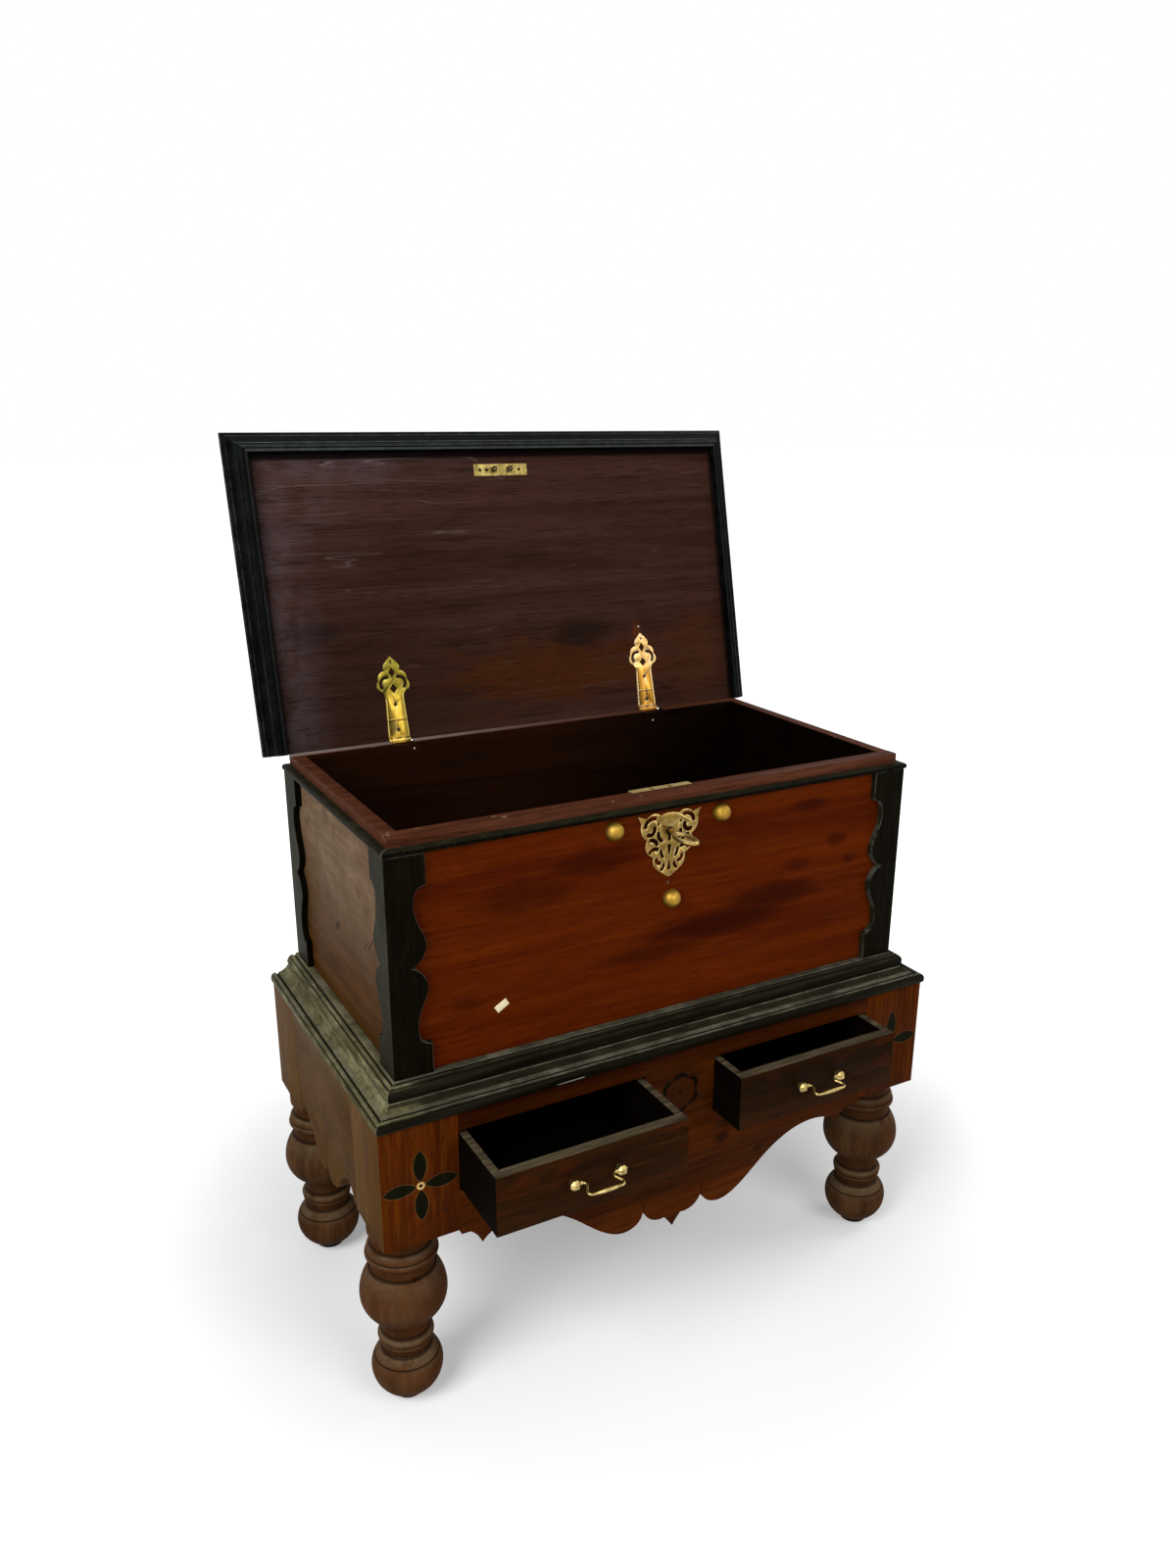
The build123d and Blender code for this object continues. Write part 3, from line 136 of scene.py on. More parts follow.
class Finish:
    """A material of nodes round one Principled shader."""

    def __init__(self, name, specular=0.5):
        self.material = bpy.data.materials.new(name)
        self.material.use_nodes = True
        self.tree = self.material.node_tree
        self.shader = self.tree.nodes["Principled BSDF"]
        self.shader.inputs["Specular IOR Level"].default_value = specular
        self.where = self.node("TexCoord", {}, output="Object")
        facing = self.node("TexCoord", {}, output="Normal")
        self.x, self.y, self.z = self.split(self.where)
        self.facing_x, self.facing_y, self.facing_z = self.split(facing)

    def node(self, kind, settings, *values, output=0, **named):
        """A node of a kind, its settings made first, then its sockets by place or name."""
        made = self.tree.nodes.new("ShaderNode" + kind)
        for key, value in settings.items():
            setattr(made, key, value)
        for key, value in [*enumerate(values), *named.items()]:
            self.feed(made.inputs[key], value)
        return Value(self, made.outputs[output])

    def feed(self, socket, value):
        """Puts a value, a colour or a link into a socket."""
        if isinstance(value, Value):
            self.tree.links.new(value.socket, socket)
        else:
            wide = hasattr(socket.default_value, "__len__")
            if wide and len(socket.default_value) == 4:
                value = (*value[:3], 1.0)
            socket.default_value = value

    def split(self, vector):
        node = self.tree.nodes.new("ShaderNodeSeparateXYZ")
        self.tree.links.new(vector.socket, node.inputs[0])
        return [Value(self, output) for output in node.outputs]

    def toward(self, direction):
        """How squarely the surface faces along a direction: 1 face on, 0 edge on."""
        x, y, z = direction
        return abs(self.facing_x * x + self.facing_y * y + self.facing_z * z)

    def noise(
        self, scale, detail=4.0, rough=0.6,
        along=(1, 1, 1), shift=(0, 0, 0), turn=(0, 0, 0), twist=0.0,
    ):
        """Noise of so many lumps a metre, drawn out where along is small."""
        place = self.node("Mapping", {}, self.where, shift, turn, along)
        sockets = {"Scale": scale, "Detail": detail, "Roughness": rough, "Distortion": twist}
        return self.node("TexNoise", {}, Vector=place, **sockets)

    def figure(self, axis):
        """The broad light and dark figure of wood that runs along an axis."""
        return self.noise(16, 4, 0.62, GRAINS[axis], twist=1.2)

    def streaks(self, axis):
        """Its finer streaks."""
        return self.noise(120, 3, 0.6, GRAINS[axis])

    def pores(self, axis):
        """Its open pores."""
        return self.noise(520, 2, 0.5, GRAINS[axis]).rise(0.56, 0.68)

    def grain(self, axis):
        """All three of them."""
        return self.figure(axis), self.streaks(axis), self.pores(axis)

    def scratches(self, scale, share, along, turn, shift=(0, 0, 0)):
        """Thin worn lines: the crests of a noise drawn out along one direction."""
        return self.noise(scale, 3.0, 0.5, along, shift, turn).near(0.5, share, 0.0)

    def bands(self, *places):
        """1 on each level line of a turned or moulded piece: its height and half width."""
        lines = [self.z.near(height, half * 1.6, half * 0.5) for height, half in places]
        return reduce(Value.most, lines)

    def patch(self, x, z, wide, high, ragged=0.5):
        """A stain on a front face: the distance from its middle in half widths and half
        heights, made ragged by a noise, and full within a third of that."""
        reach = distance((self.x - x) / wide, (self.z - z) / high)
        rim = self.noise(22, 5, 0.65, along=(0.45, 1, 1.6), shift=(x, 0, z))
        return (reach + (rim - 0.5) * 2 * ragged).rise(1.15, 0.35)

    def mix(self, factor, first, second):
        """One colour laid over another."""
        made = self.tree.nodes.new("ShaderNodeMix")
        made.data_type = "RGBA"
        for place, value in ((0, factor), (6, first), (7, second)):
            self.feed(made.inputs[place], value)
        return Value(self, made.outputs[2])

    def done(self, colour, roughness, bump=None, depth=None, metallic=0.0):
        """Gives the shader its colour, roughness, relief and metal; returns the material."""
        inputs = self.shader.inputs
        self.feed(inputs["Base Color"], colour)
        self.feed(inputs["Roughness"], roughness)
        self.feed(inputs["Metallic"], metallic)
        if bump is not None:
            normal = self.node("Bump", {}, Height=bump, Strength=1.0, Distance=depth)
            self.feed(inputs["Normal"], normal)
        return self.material


def dress(material, *names):
    """Gives CAD nodes a finish."""
    for name in names:
        nodes[name].data.materials.clear()
        nodes[name].data.materials.append(material)


def eased(material, names, width, segments=2, smooth=True):
    """Copies of pieces, each in the place of its node, with arrises worn round by a width."""
    for name in names:
        shape = bmesh.new()
        shape.from_mesh(nodes[name].data)
        bmesh.ops.remove_doubles(shape, verts=shape.verts, dist=SAME_POINT)
        bmesh.ops.dissolve_limit(
            shape, angle_limit=FLAT_ANGLE, verts=shape.verts, edges=shape.edges
        )
        mesh = bpy.data.meshes.new(name + "_worn")
        shape.to_mesh(mesh)
        shape.free()
        if smooth:
            mesh.shade_smooth()
        else:
            mesh.shade_flat()
        piece = bpy.data.objects.new(name + "_worn", mesh)
        bpy.context.scene.collection.objects.link(piece)
        mesh.materials.append(material)
        bevel = piece.modifiers.new("worn arrises", "BEVEL")
        bevel.width = width
        bevel.segments = segments
        bevel.limit_method = "ANGLE"
        bevel.angle_limit = ARRIS_ANGLE
        bevel.harden_normals = smooth
        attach(piece, nodes[name]["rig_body"])
        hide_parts(name)


post = Finish("orange_brown_post_wood", WOOD_SHEEN)
figure, streak, pores = post.grain("z")
face = post.mix(figure.rise(0.3, 0.72), (0.040, 0.0070, 0.0006), (0.092, 0.0180, 0.0010))
face = post.mix(streak.rise(0.42, 0.7) * 0.45, face, (0.130, 0.0320, 0.0024))
side = post.mix(figure.rise(0.3, 0.72), (0.048, 0.0190, 0.0026), (0.092, 0.0400, 0.0052))
side = post.mix(streak.rise(0.45, 0.7) * 0.4, side, (0.120, 0.0620, 0.0110))
colour = post.mix(abs(post.facing_x).most(post.facing_y).rise(0.4, 0.8), face, side)
colour = post.mix(pores * 0.5, colour, (0.014, 0.0040, 0.0008))
dirt_starts, dirt_is_full = 0.360, 0.315
low_dirt = post.z.rise(dirt_starts, dirt_is_full) * post.noise(30, 4).rise(0.35, 0.65) * 0.5
colour = post.mix(low_dirt, colour, (0.016, 0.0070, 0.0020))

# A hair of glue shows round each petal of the flowers let into the front faces, and
# a dark plug fills each bone ring. A petal is two arcs that meet in its points.
ring_low, ring_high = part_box("bone_rings")
flower_x = ring_high[0] - (ring_high[2] - ring_low[2]) / 2
flower_z = (ring_high[2] + ring_low[2]) / 2
petal_start, petal_end = 0.0066, 0.0580
petal_half_width = 0.01025
petal_middle = (petal_start + petal_end) / 2
petal_half_length = (petal_end - petal_start) / 2
petal_arc = (petal_half_length**2 + petal_half_width**2) / (2 * petal_half_width)
across = abs(abs(post.x) - flower_x)
above = abs(post.z - flower_z)
along_petal = across.most(above) - petal_middle
beside_petal = across.least(above) + (petal_arc - petal_half_width)
outside_petal = distance(along_petal, beside_petal) - petal_arc
petal_ends = abs(along_petal).rise(petal_half_length + 0.0008, petal_half_length - 0.0007)
glue = outside_petal.near(0.0003, 0.0008, 0.0002) * petal_ends
front_posts_from = 0.200
on_front = (-post.y).rise(front_posts_from, front_posts_from + 0.01)
on_front = on_front * (-post.facing_y).rise(0.4, 0.6)
colour = post.mix(glue * on_front * 0.55, colour, (0.150, 0.0900, 0.0340))
plug_radius = 0.0032
plug = distance(across, above).rise(plug_radius + 0.0004, plug_radius - 0.0004)
colour = post.mix(plug * on_front, colour, (0.020, 0.0050, 0.0020))
post_finish = post.done(colour, figure * 0.25 + 0.42, streak * 0.5 - pores, 0.0004)
post_names = ["post_front_left", "post_front_right", "post_back_left", "post_back_right"]
eased(post_finish, post_names, width=0.0016)

# ---- Rails, aprons and their pegs -------------------------------------------
# Boards of the same tree, tenoned between the posts, with the grain along them.
# The front ones are red and dark with polish, the side ones tan and dusty. The
# runners and guides within were never polished, and the pegs show end grain.
rail = Finish("red_brown_apron_wood", WOOD_SHEEN)
figure, streak, pores = rail.grain("x")
face = rail.mix(figure.rise(0.32, 0.7), (0.026, 0.0050, 0.0005), (0.078, 0.0155, 0.0009))
face = rail.mix(streak.rise(0.4, 0.72) * 0.4, face, (0.100, 0.0270, 0.0020))

# The middle of each stain, across and up, and its half width and half height.
apron_stains = (
    (0.170, 0.375, 0.060, 0.018), (0.085, 0.330, 0.016, 0.012),
    (0.160, 0.285, 0.014, 0.010), (0.110, 0.355, 0.050, 0.012),
)
stains = reduce(Value.most, [rail.patch(*place) for place in apron_stains])
face = rail.mix(stains * 0.75, face, (0.012, 0.0030, 0.0010))
# The rail goes darker towards its top, just under the moulding.
darkening_starts, darkening_is_full = 0.478, 0.512
face = rail.mix(rail.z.rise(darkening_starts, darkening_is_full) * 0.8, face, (0.014, 0.0022, 0.0005))
# Painted shade: the stile round the rosette is painted darker, as the shadow that lies there.
shade_round_rosette = rail.patch(0.0, 0.445, 0.060, 0.050, ragged=0.3)
face = rail.mix(shade_round_rosette * 0.65, face, (0.018, 0.0055, 0.0012))
face = rail.mix(pores * 0.45, face, (0.012, 0.0040, 0.0012))
front_finish = rail.done(face, figure * 0.25 + 0.40, streak * 0.5 - pores, 0.0004)
eased(front_finish, ["front_apron", "front_top_rail", "centre_stile"], width=0.0012)

tan = Finish("tan_side_apron_wood", WOOD_SHEEN)
figure, streak, pores = tan.grain("y")
face = tan.mix(figure.rise(0.3, 0.7), (0.034, 0.0130, 0.0018), (0.068, 0.0280, 0.0046))
face = tan.mix(tan.noise(7, 5, 0.7).rise(0.42, 0.7) * 0.5, face, (0.094, 0.0480, 0.0110))
dust_starts, dust_is_full = 0.470, 0.510
face = tan.mix(tan.z.rise(dust_starts, dust_is_full) * 0.45, face, (0.098, 0.0600, 0.0200))
face = tan.mix(pores * 0.5, face, (0.016, 0.0080, 0.0030))
side_finish = tan.done(face, figure * 0.2 + 0.5, streak * 0.5 - pores, 0.0004)
eased(side_finish, ["side_aprons", "back_apron"], width=0.0012)

bare = Finish("bare_inner_wood", WOOD_SHEEN)
figure, streak, pores = bare.grain("y")
face = bare.mix(figure.rise(0.3, 0.7), (0.060, 0.0300, 0.0120), (0.120, 0.0650, 0.0280))
face = bare.mix(pores * 0.5, face, (0.020, 0.0100, 0.0050))
dress(bare.done(face, 0.72, streak, 0.0004), "drawer_runners", "drawer_guides")

peg = Finish("dark_peg_end_grain", WOOD_SHEEN)
rings = peg.noise(900, 3, 0.6)
face = peg.mix(rings.rise(0.35, 0.65), (0.020, 0.0055, 0.0015), (0.055, 0.0150, 0.0030))
dress(peg.done(face, 0.6, rings, 0.0003), "joint_pegs")

# ---- Turned legs ------------------------------------------------------------
# Each leg is turned from one block, so its tool marks ring it, and their grooves are
# painted dark as shade. Dust has gone grey on the upper side of every bulb, the necks
# keep their red polish, painted darker as the shade under the bulbs, and the pad that
# stands on the floor is nearly black.

# The height of each band and its half width.
red_shaded_necks = ((0.2490, 0.0095), (0.2925, 0.0085), (0.0975, 0.0065), (0.1370, 0.0080))
tool_grooves = (
    (0.0772, 0.0011), (0.0900, 0.0016), (0.1098, 0.0010), (0.1250, 0.0030), (0.1465, 0.0014),
    (0.2395, 0.0016), (0.2597, 0.0010), (0.2698, 0.0009), (0.2840, 0.0020),
)
pad_top, pad_is_black = 0.016, 0.010

leg = Finish("turned_leg_wood", WOOD_SHEEN)
figure, streak, pores = leg.grain("z")
turning = leg.noise(260, 3, 0.6, along=(0.04, 0.04, 1.0))
face = leg.mix(figure.rise(0.32, 0.7), (0.034, 0.0145, 0.0058), (0.082, 0.0380, 0.0150))
face = leg.mix(streak.rise(0.45, 0.7) * 0.35, face, (0.105, 0.0560, 0.0240))
# Red polish, painted darker as the shade under the bulbs.
face = leg.mix(leg.bands(*red_shaded_necks) * 0.70, face, (0.027, 0.0090, 0.0028))
# Painted shade: the faces turned right and forward, away from the left lamp, are painted redder;
# the rest of the blush is random.
shaded_side = leg.facing_x.rise(-0.55, 0.75) * (-leg.facing_y).rise(-0.4, 0.4)
blush_and_shade = leg.noise(9, 4, 0.6).rise(0.45, 0.66) * 0.30 + shaded_side * 0.45
face = leg.mix(blush_and_shade, face, (0.072, 0.0200, 0.0044))
# Painted shade: the faces turned down, under each bulb, are painted darker, and grime darkens
# patches anywhere.
grime = leg.noise(14, 5, 0.7, shift=(1, 2, 3)).rise(0.50, 0.72)
face = leg.mix(leg.facing_z.rise(0.0, -0.7) * 0.45 + grime * 0.35, face, (0.020, 0.0085, 0.0026))
dust = leg.facing_z.rise(0.15, 0.85) * leg.noise(24, 5, 0.7).rise(0.28, 0.6)
face = leg.mix(dust * 0.75, face, (0.125, 0.0880, 0.0500))
# Painted shade: the tool grooves are painted dark.
grooves = leg.bands(*tool_grooves)
face = leg.mix(grooves * 0.75, face, (0.009, 0.0036, 0.0016))
knots = leg.noise(30, 2, 0.5, shift=(0.3, 0.1, 0.2)).rise(0.70, 0.76)
face = leg.mix(knots * 0.8, face, (0.012, 0.0045, 0.0020))
face = leg.mix(leg.z.rise(pad_top, pad_is_black), face, (0.006, 0.0050, 0.0045))
relief = turning * 0.6 + streak * 0.3 - pores * 0.6 - grooves * 3.0
leg_finish = leg.done(face, figure * 0.2 + 0.46 + dust * 0.25, relief, 0.0004)
dress(leg_finish, "leg_front_left", "leg_front_right", "leg_back_left", "leg_back_right")

# ---- Inlays -----------------------------------------------------------------
# Petals and crescents of black wood let in flush and edged with a hair of pale
# glue, round a bone ring with a plug of dark red mastic.
rosette_reach = 0.10

black = Finish("black_inlay_wood", WOOD_SHEEN)
streak = black.streaks("z")
face = black.mix(streak.rise(0.35, 0.7), (0.0036, 0.0034, 0.0008), (0.0068, 0.0062, 0.0018))
# Painted shade: near the rosette the black is painted browner and darker, as the shadow lies
# there.
shaded_rosette_inlay = abs(black.x).rise(rosette_reach + 0.10, rosette_reach)
face = black.mix(shaded_rosette_inlay, face, (0.0034, 0.0020, 0.0008))
dress(black.done(face, 0.42, streak, 0.0002), "black_inlays")

bone = Finish("yellow_bone")
lumps = bone.noise(900, 3, 0.6)
face = bone.mix(lumps.rise(0.3, 0.7), (0.420, 0.2400, 0.0600), (0.640, 0.4300, 0.1400))
dress(bone.done(face, 0.45, lumps, 0.0002), "bone_rings")

# ---- Black mouldings and straps ---------------------------------------------
# Ebonised wood: the black has rubbed to grey-green along the edges, with a painted
# highlight along its beads and arrises, and greyed with dust on whatever faces up. The left
# ends, towards the light, are painted khaki as a sheen of light over the dust, and the
# quirks are painted dark as shade. The mouldings are mitred at the corners and the straps
# are glued over the boards.

# The height of each line and its half width.
rubbed_and_highlit_beads = ((0.5642, 0.0009), (0.5316, 0.0010), (0.5406, 0.0006))
shaded_quirks = ((0.5608, 0.0010), (0.5284, 0.0012))
left_end, khaki_top = -0.440, 0.580
lower_top = 0.5405
chip_x, chip_z, chip_slope = -0.199, 0.5172, 0.02

ebony = Finish("rubbed_black_wood", WOOD_SHEEN)
on_side = abs(ebony.facing_x).rise(0.35, 0.75)
streak_y = ebony.streaks("y")
streak = ebony.streaks("x") * (1 - on_side) + streak_y * on_side
pores = ebony.pores("x") * (1 - on_side) + ebony.pores("y") * on_side
face = ebony.mix(streak.rise(0.35, 0.7), (0.0036, 0.0029, 0.0013), (0.0110, 0.0096, 0.0050))
rubbed = ebony.noise(45, 5, 0.7, along=(0.35, 0.35, 1)).rise(0.42, 0.66)
up = ebony.facing_z.rise(0.25, 0.85)
face = ebony.mix(up * (0.12 + rubbed * 0.24), face, (0.046, 0.0410, 0.0220))
# Painted sheen over dust: the left ends, towards the left lamp, are painted khaki, most where
# they face up.
lit_left_ends = ebony.x.rise(left_end + 0.02, left_end - 0.02)
lit_left_ends = lit_left_ends * (1 - ebony.facing_y.rise(-0.3, -0.8))
lit_left_ends = lit_left_ends * ebony.z.rise(khaki_top, khaki_top - 0.01)
khaki = ebony.mix(rubbed, (0.100, 0.0900, 0.0380), (0.260, 0.2350, 0.1250))
khaki = ebony.mix(streak_y.rise(0.5, 0.62) * 0.35, khaki, (0.024, 0.0210, 0.0090))
face = ebony.mix(lit_left_ends * (0.55 + up * 0.35), face, khaki)
# Rubbed wear and a painted highlight: pale lines along the crests of the beads and lips.
face = ebony.mix(ebony.bands(*rubbed_and_highlit_beads) * (0.3 + rubbed * 0.5), face, (0.150, 0.1400, 0.0980))
# Painted shade: the quirks are painted near black.
face = ebony.mix(ebony.bands(*shaded_quirks) * 0.85, face, (0.0030, 0.0026, 0.0016))
lower_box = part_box("lower_moulding_front")
upper_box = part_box("upper_moulding_front")
for box, low, high in (
    (lower_box, lower_top + 0.0005, lower_top - 0.0005),
    (upper_box, lower_top - 0.0005, lower_top + 0.0005),
):
    mitre = (ebony.y - box[0][1] + abs(ebony.x)).near(box[1][0], 0.0011, 0.0004)
    mitre = mitre * ebony.z.rise(low, high) * ebony.x.rise(0.1, -0.1)
    face = ebony.mix(mitre * 0.7, face, (0.190, 0.1700, 0.1150))
along_chip = ebony.x - chip_x
chip = abs(along_chip).rise(0.026, 0.018)
chip = chip * (ebony.z - along_chip * chip_slope).near(chip_z, 0.0018, 0.0008)
chip = chip * (-ebony.facing_y).rise(-0.1, 0.3)
face = ebony.mix(chip * (0.6 + streak * 0.5), face, (0.420, 0.4000, 0.3400))
face = ebony.mix(pores * 0.6, face, (0.0040, 0.0036, 0.0024))
moulding_finish = ebony.done(face, streak * 0.2 + 0.40, streak - pores, 0.0005)
moulding_names = [
    level + "_moulding_" + part
    for level in ("lower", "upper")
    for part in ("front", "sides", "back")
]
eased(moulding_finish, [*moulding_names, "rim_beads"], width=0.0009)

strap = Finish("black_strap_wood", WOOD_SHEEN)
streak, pores = strap.streaks("z"), strap.pores("z")
face = strap.mix(streak.rise(0.35, 0.7), (0.0018, 0.0012, 0.0002), (0.0040, 0.0029, 0.0008))
rubbed = strap.noise(38, 5, 0.7, along=(1, 1, 0.3)).rise(0.48, 0.68)
face = strap.mix(rubbed * 0.15, face, (0.016, 0.0140, 0.0070))
green = abs(strap.facing_x).rise(0.5, 0.9)
face = strap.mix(green * (0.25 + rubbed * 0.35), face, (0.034, 0.0320, 0.0160))
# Rubbed wear and a painted highlight: the worn round arrises on the fronts are painted pale.
squarest = abs(strap.facing_x).most(abs(strap.facing_y)).most(abs(strap.facing_z))
arris_wear_and_highlight = squarest.rise(0.985, 0.93) * strap.noise(40, 4, 0.7).rise(0.36, 0.60)
face = strap.mix(arris_wear_and_highlight * strap.y.rise(0.05, 0.0) * 0.6, face, (0.085, 0.0880, 0.0700))
face = strap.mix(pores * 0.5, face, (0.0030, 0.0025, 0.0015))
strap_finish = strap.done(face, streak * 0.2 + 0.38, streak - pores, 0.0004)
strap_names = ["corner_strap_front_left", "corner_strap_front_right", "corner_straps_back"]
eased(strap_finish, strap_names, width=0.0010, smooth=False)

# ---- Drawers ----------------------------------------------------------------
# Dark brown boards with red worn patches; the top edges are rubbed pale and grey,
# and the insides, never polished, are painted near black as the shade within them.
top_edge_low, top_edge_high = 0.470, 0.476

drawer = Finish("dark_drawer_wood", WOOD_SHEEN)
figure, streak, pores = drawer.grain("x")
face = drawer.mix(figure.rise(0.35, 0.7), (0.0095, 0.0036, 0.0008), (0.0270, 0.0090, 0.0018))
red = drawer.noise(14, 5, 0.65, along=(0.5, 1, 1.2)).rise(0.50, 0.66)
face = drawer.mix(red * 0.5, face, (0.052, 0.0100, 0.0018))
face = drawer.mix(streak.rise(0.55, 0.75) * 0.25, face, (0.050, 0.0240, 0.0080))
# Painted shade: every face but the fronts is painted near black.
shaded_insides = (-drawer.facing_y).rise(0.9, 0.5)
face = drawer.mix(shaded_insides * 0.96, face, (0.0012, 0.0009, 0.0006))
pale = drawer.mix(streak.rise(0.3, 0.7), (0.026, 0.0190, 0.0100), (0.094, 0.0730, 0.0430))
top_edge = drawer.facing_z.rise(0.5, 0.95) * drawer.z.rise(top_edge_low, top_edge_high)
face = drawer.mix(top_edge, face, pale)
face = drawer.mix(pores * 0.5, face, (0.0060, 0.0030, 0.0020))
drawer_finish = drawer.done(face, figure * 0.25 + 0.40, streak * 0.6 - pores, 0.0005)
drawer_boards = [
    "drawer_" + hand + "_" + part
    for hand in ("left", "right")
    for part in ("front", "sides", "back")
]
eased(drawer_finish, drawer_boards, width=0.0011)

# Painted shade: the drawers' floors are painted near black.
inner = Finish("black_drawer_floor", specular=0.0)
figure, streak = inner.figure("x"), inner.streaks("x")
face = inner.mix(figure.rise(0.3, 0.7), (0.0006, 0.0004, 0.0003), (0.0016, 0.0011, 0.0007))
dress(inner.done(face, 0.8, streak, 0.0004), "drawer_left_bottom", "drawer_right_bottom")

# ---- Chest boards -----------------------------------------------------------
# Five wide boards. The front is polished red with dark heartwood streaks, the
# ends are dusty and khaki, the khaki partly a painted sheen, the rim is chipped, and the
# inside is dark, painted near black towards the right as shade.
front_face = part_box("chest_front_board")[0][1]
inner_back, back_face = (corner[1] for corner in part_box("chest_back_board"))

# The middle of each streak, across and up, its half width, half height and strength.
heartwood = (
    (0.10, 0.690, 0.170, 0.030, 0.85),
    (0.20, 0.720, 0.100, 0.030, 0.75),
    (-0.02, 0.668, 0.120, 0.018, 0.55),
    (-0.24, 0.800, 0.100, 0.030, 0.50),
    (-0.13, 0.835, 0.090, 0.026, 0.55),
    (-0.34, 0.655, 0.030, 0.016, 0.45),
    (0.27, 0.865, 0.045, 0.012, 0.70),
    (0.33, 0.795, 0.025, 0.014, 0.60),
    (0.25, 0.765, 0.035, 0.012, 0.55),
    (0.36, 0.755, 0.018, 0.010, 0.55),
)
# The middle of each dent, back and up, its half length, half height and slope.
dents = (
    (0.0578, 0.7009, 0.011, 0.0060, -0.6),
    (0.0277, 0.6779, 0.010, 0.0030, 0.8),
    (0.1520, 0.7369, 0.013, 0.0022, 0.5),
    (-0.1075, 0.7355, 0.020, 0.0022, -1.0),
    (-0.0795, 0.7200, 0.012, 0.0018, -1.0),
)
# The painted shadow behind the pierced escutcheon: its foot, its top and how fast it widens.
plate_foot, plate_top, plate_spread = 0.795, 0.8855, 0.42
scuff_z = 0.779
end_face = 0.4462
dust_and_sheen_above, brown_below = 0.860, 0.620
bead_top, rim_edge, rim_top = 0.9100, 0.9200, 0.9261
back_arris_y = 0.255

chest = Finish("red_chest_board", WOOD_SHEEN)
figure, streak, pores = chest.grain("x")
front = chest.mix(figure.rise(0.3, 0.72), (0.056, 0.0064, 0.0002), (0.094, 0.0134, 0.0004))
front = chest.mix(streak.rise(0.45, 0.75) * 0.30, front, (0.130, 0.0260, 0.0016))
stains = [chest.patch(*place) * strength for *place, strength in heartwood]
front = chest.mix(reduce(Value.most, stains), front, (0.020, 0.0018, 0.0002))
# Painted shadow: the board behind the escutcheon is painted near black, to show dark through its
# piercings.
shadow_behind_plate = (abs(chest.x) - (chest.z - plate_foot) * plate_spread).rise(0.0135, 0.0080)
shadow_behind_plate = shadow_behind_plate * chest.z.rise(plate_foot - 0.002, plate_foot + 0.003)
shadow_behind_plate = shadow_behind_plate * chest.z.rise(plate_top + 0.0025, plate_top - 0.0025)
front = chest.mix(shadow_behind_plate * 0.9, front, (0.0060, 0.0016, 0.0004))
scuff = distance(chest.x, chest.z - scuff_z).rise(0.0030, 0.0012)
front = chest.mix(scuff * 0.7, front, (0.150, 0.0900, 0.0600))

# Dust and a painted sheen: the ends are painted khaki, most in their upper part, and brown below.
lines = chest.noise(70, 4, 0.65, along=(1, 0.08, 1))
clouds = chest.noise(10, 5, 0.7).rise(0.3, 0.7)
side = chest.mix(clouds, (0.120, 0.0720, 0.0380), (0.190, 0.1280, 0.0760))
side = chest.mix(lines.rise(0.40, 0.62) * 0.45, side, (0.080, 0.0440, 0.0190))
low_side = chest.mix(lines.rise(0.35, 0.65), (0.034, 0.0120, 0.0014), (0.064, 0.0250, 0.0044))
side = chest.mix(chest.z.rise(dust_and_sheen_above, brown_below), side, low_side)
brown = chest.noise(13, 4, 0.65, shift=(2, 1, 0)).rise(0.52, 0.68)
side = chest.mix(brown * 0.6, side, (0.066, 0.0260, 0.0090))
ragged = (chest.noise(160, 3, 0.7) - 0.5) * 1.2
for y, z, long, high, slope in dents:
    from_middle = chest.y - y
    mark = distance(from_middle / long, ((chest.z - z) - from_middle * slope) / high) + ragged
    side = chest.mix(mark.rise(1.4, 0.8) * 0.8, side, (0.018, 0.0080, 0.0024))

inside = chest.mix(figure.rise(0.3, 0.7), (0.0060, 0.0016, 0.0004), (0.0140, 0.0040, 0.0010))
# Painted shade: the inside is painted near black towards the right.
inside = chest.mix(chest.x.rise(-0.05, 0.33) * 0.85, inside, (0.0006, 0.0004, 0.0002))
outside_x = abs(chest.x).rise(end_face - 0.0007, end_face)
outside_y = (-chest.y).rise(-front_face - 0.0050, -front_face - 0.0035)
outside_y = outside_y.most(chest.y.rise(back_face - 0.0030, back_face - 0.0020))
colour = chest.mix(outside_y, inside, front)
colour = chest.mix(outside_x, colour, side)

rim = chest.facing_z.rise(0.6, 0.9) * chest.z.rise(rim_edge, rim_edge + 0.005)
rim = chest.z.rise(bead_top, bead_top + 0.0015).most(rim)
rim = rim * outside_x.most(outside_y).most(chest.z.rise(rim_top - 0.0006, rim_top))
rim_red = chest.mix(streak.rise(0.3, 0.7), (0.046, 0.0130, 0.0062), (0.088, 0.0300, 0.0150))
chips = chest.noise(60, 5, 0.75, along=(0.6, 0.6, 1)).rise(0.62, 0.72)
chips = chips * chest.z.rise(rim_edge + 0.001, rim_edge + 0.0055)
rim_red = chest.mix(chips * 0.8, rim_red, (0.240, 0.1600, 0.1000))
colour = chest.mix(rim, colour, rim_red)
back_arris = chest.y.rise(back_arris_y, back_arris_y + 0.002)
back_arris = back_arris * chest.z.rise(rim_edge + 0.0035, rim_edge + 0.0050)
back_arris = back_arris * (0.5 + chips * 0.5) * chest.x.rise(0.3, -0.4)
colour = chest.mix(back_arris, colour, (0.300, 0.2700, 0.2400))
colour = chest.mix(pores * 0.35, colour, (0.014, 0.0030, 0.0010))
board_finish = chest.done(colour, figure * 0.22 + 0.40, streak * 0.5 - pores, 0.0004)
board_names = [
    "chest_" + part + "_board" for part in ("front", "back", "left", "right", "bottom")
]
eased(board_finish, board_names, width=0.0016)

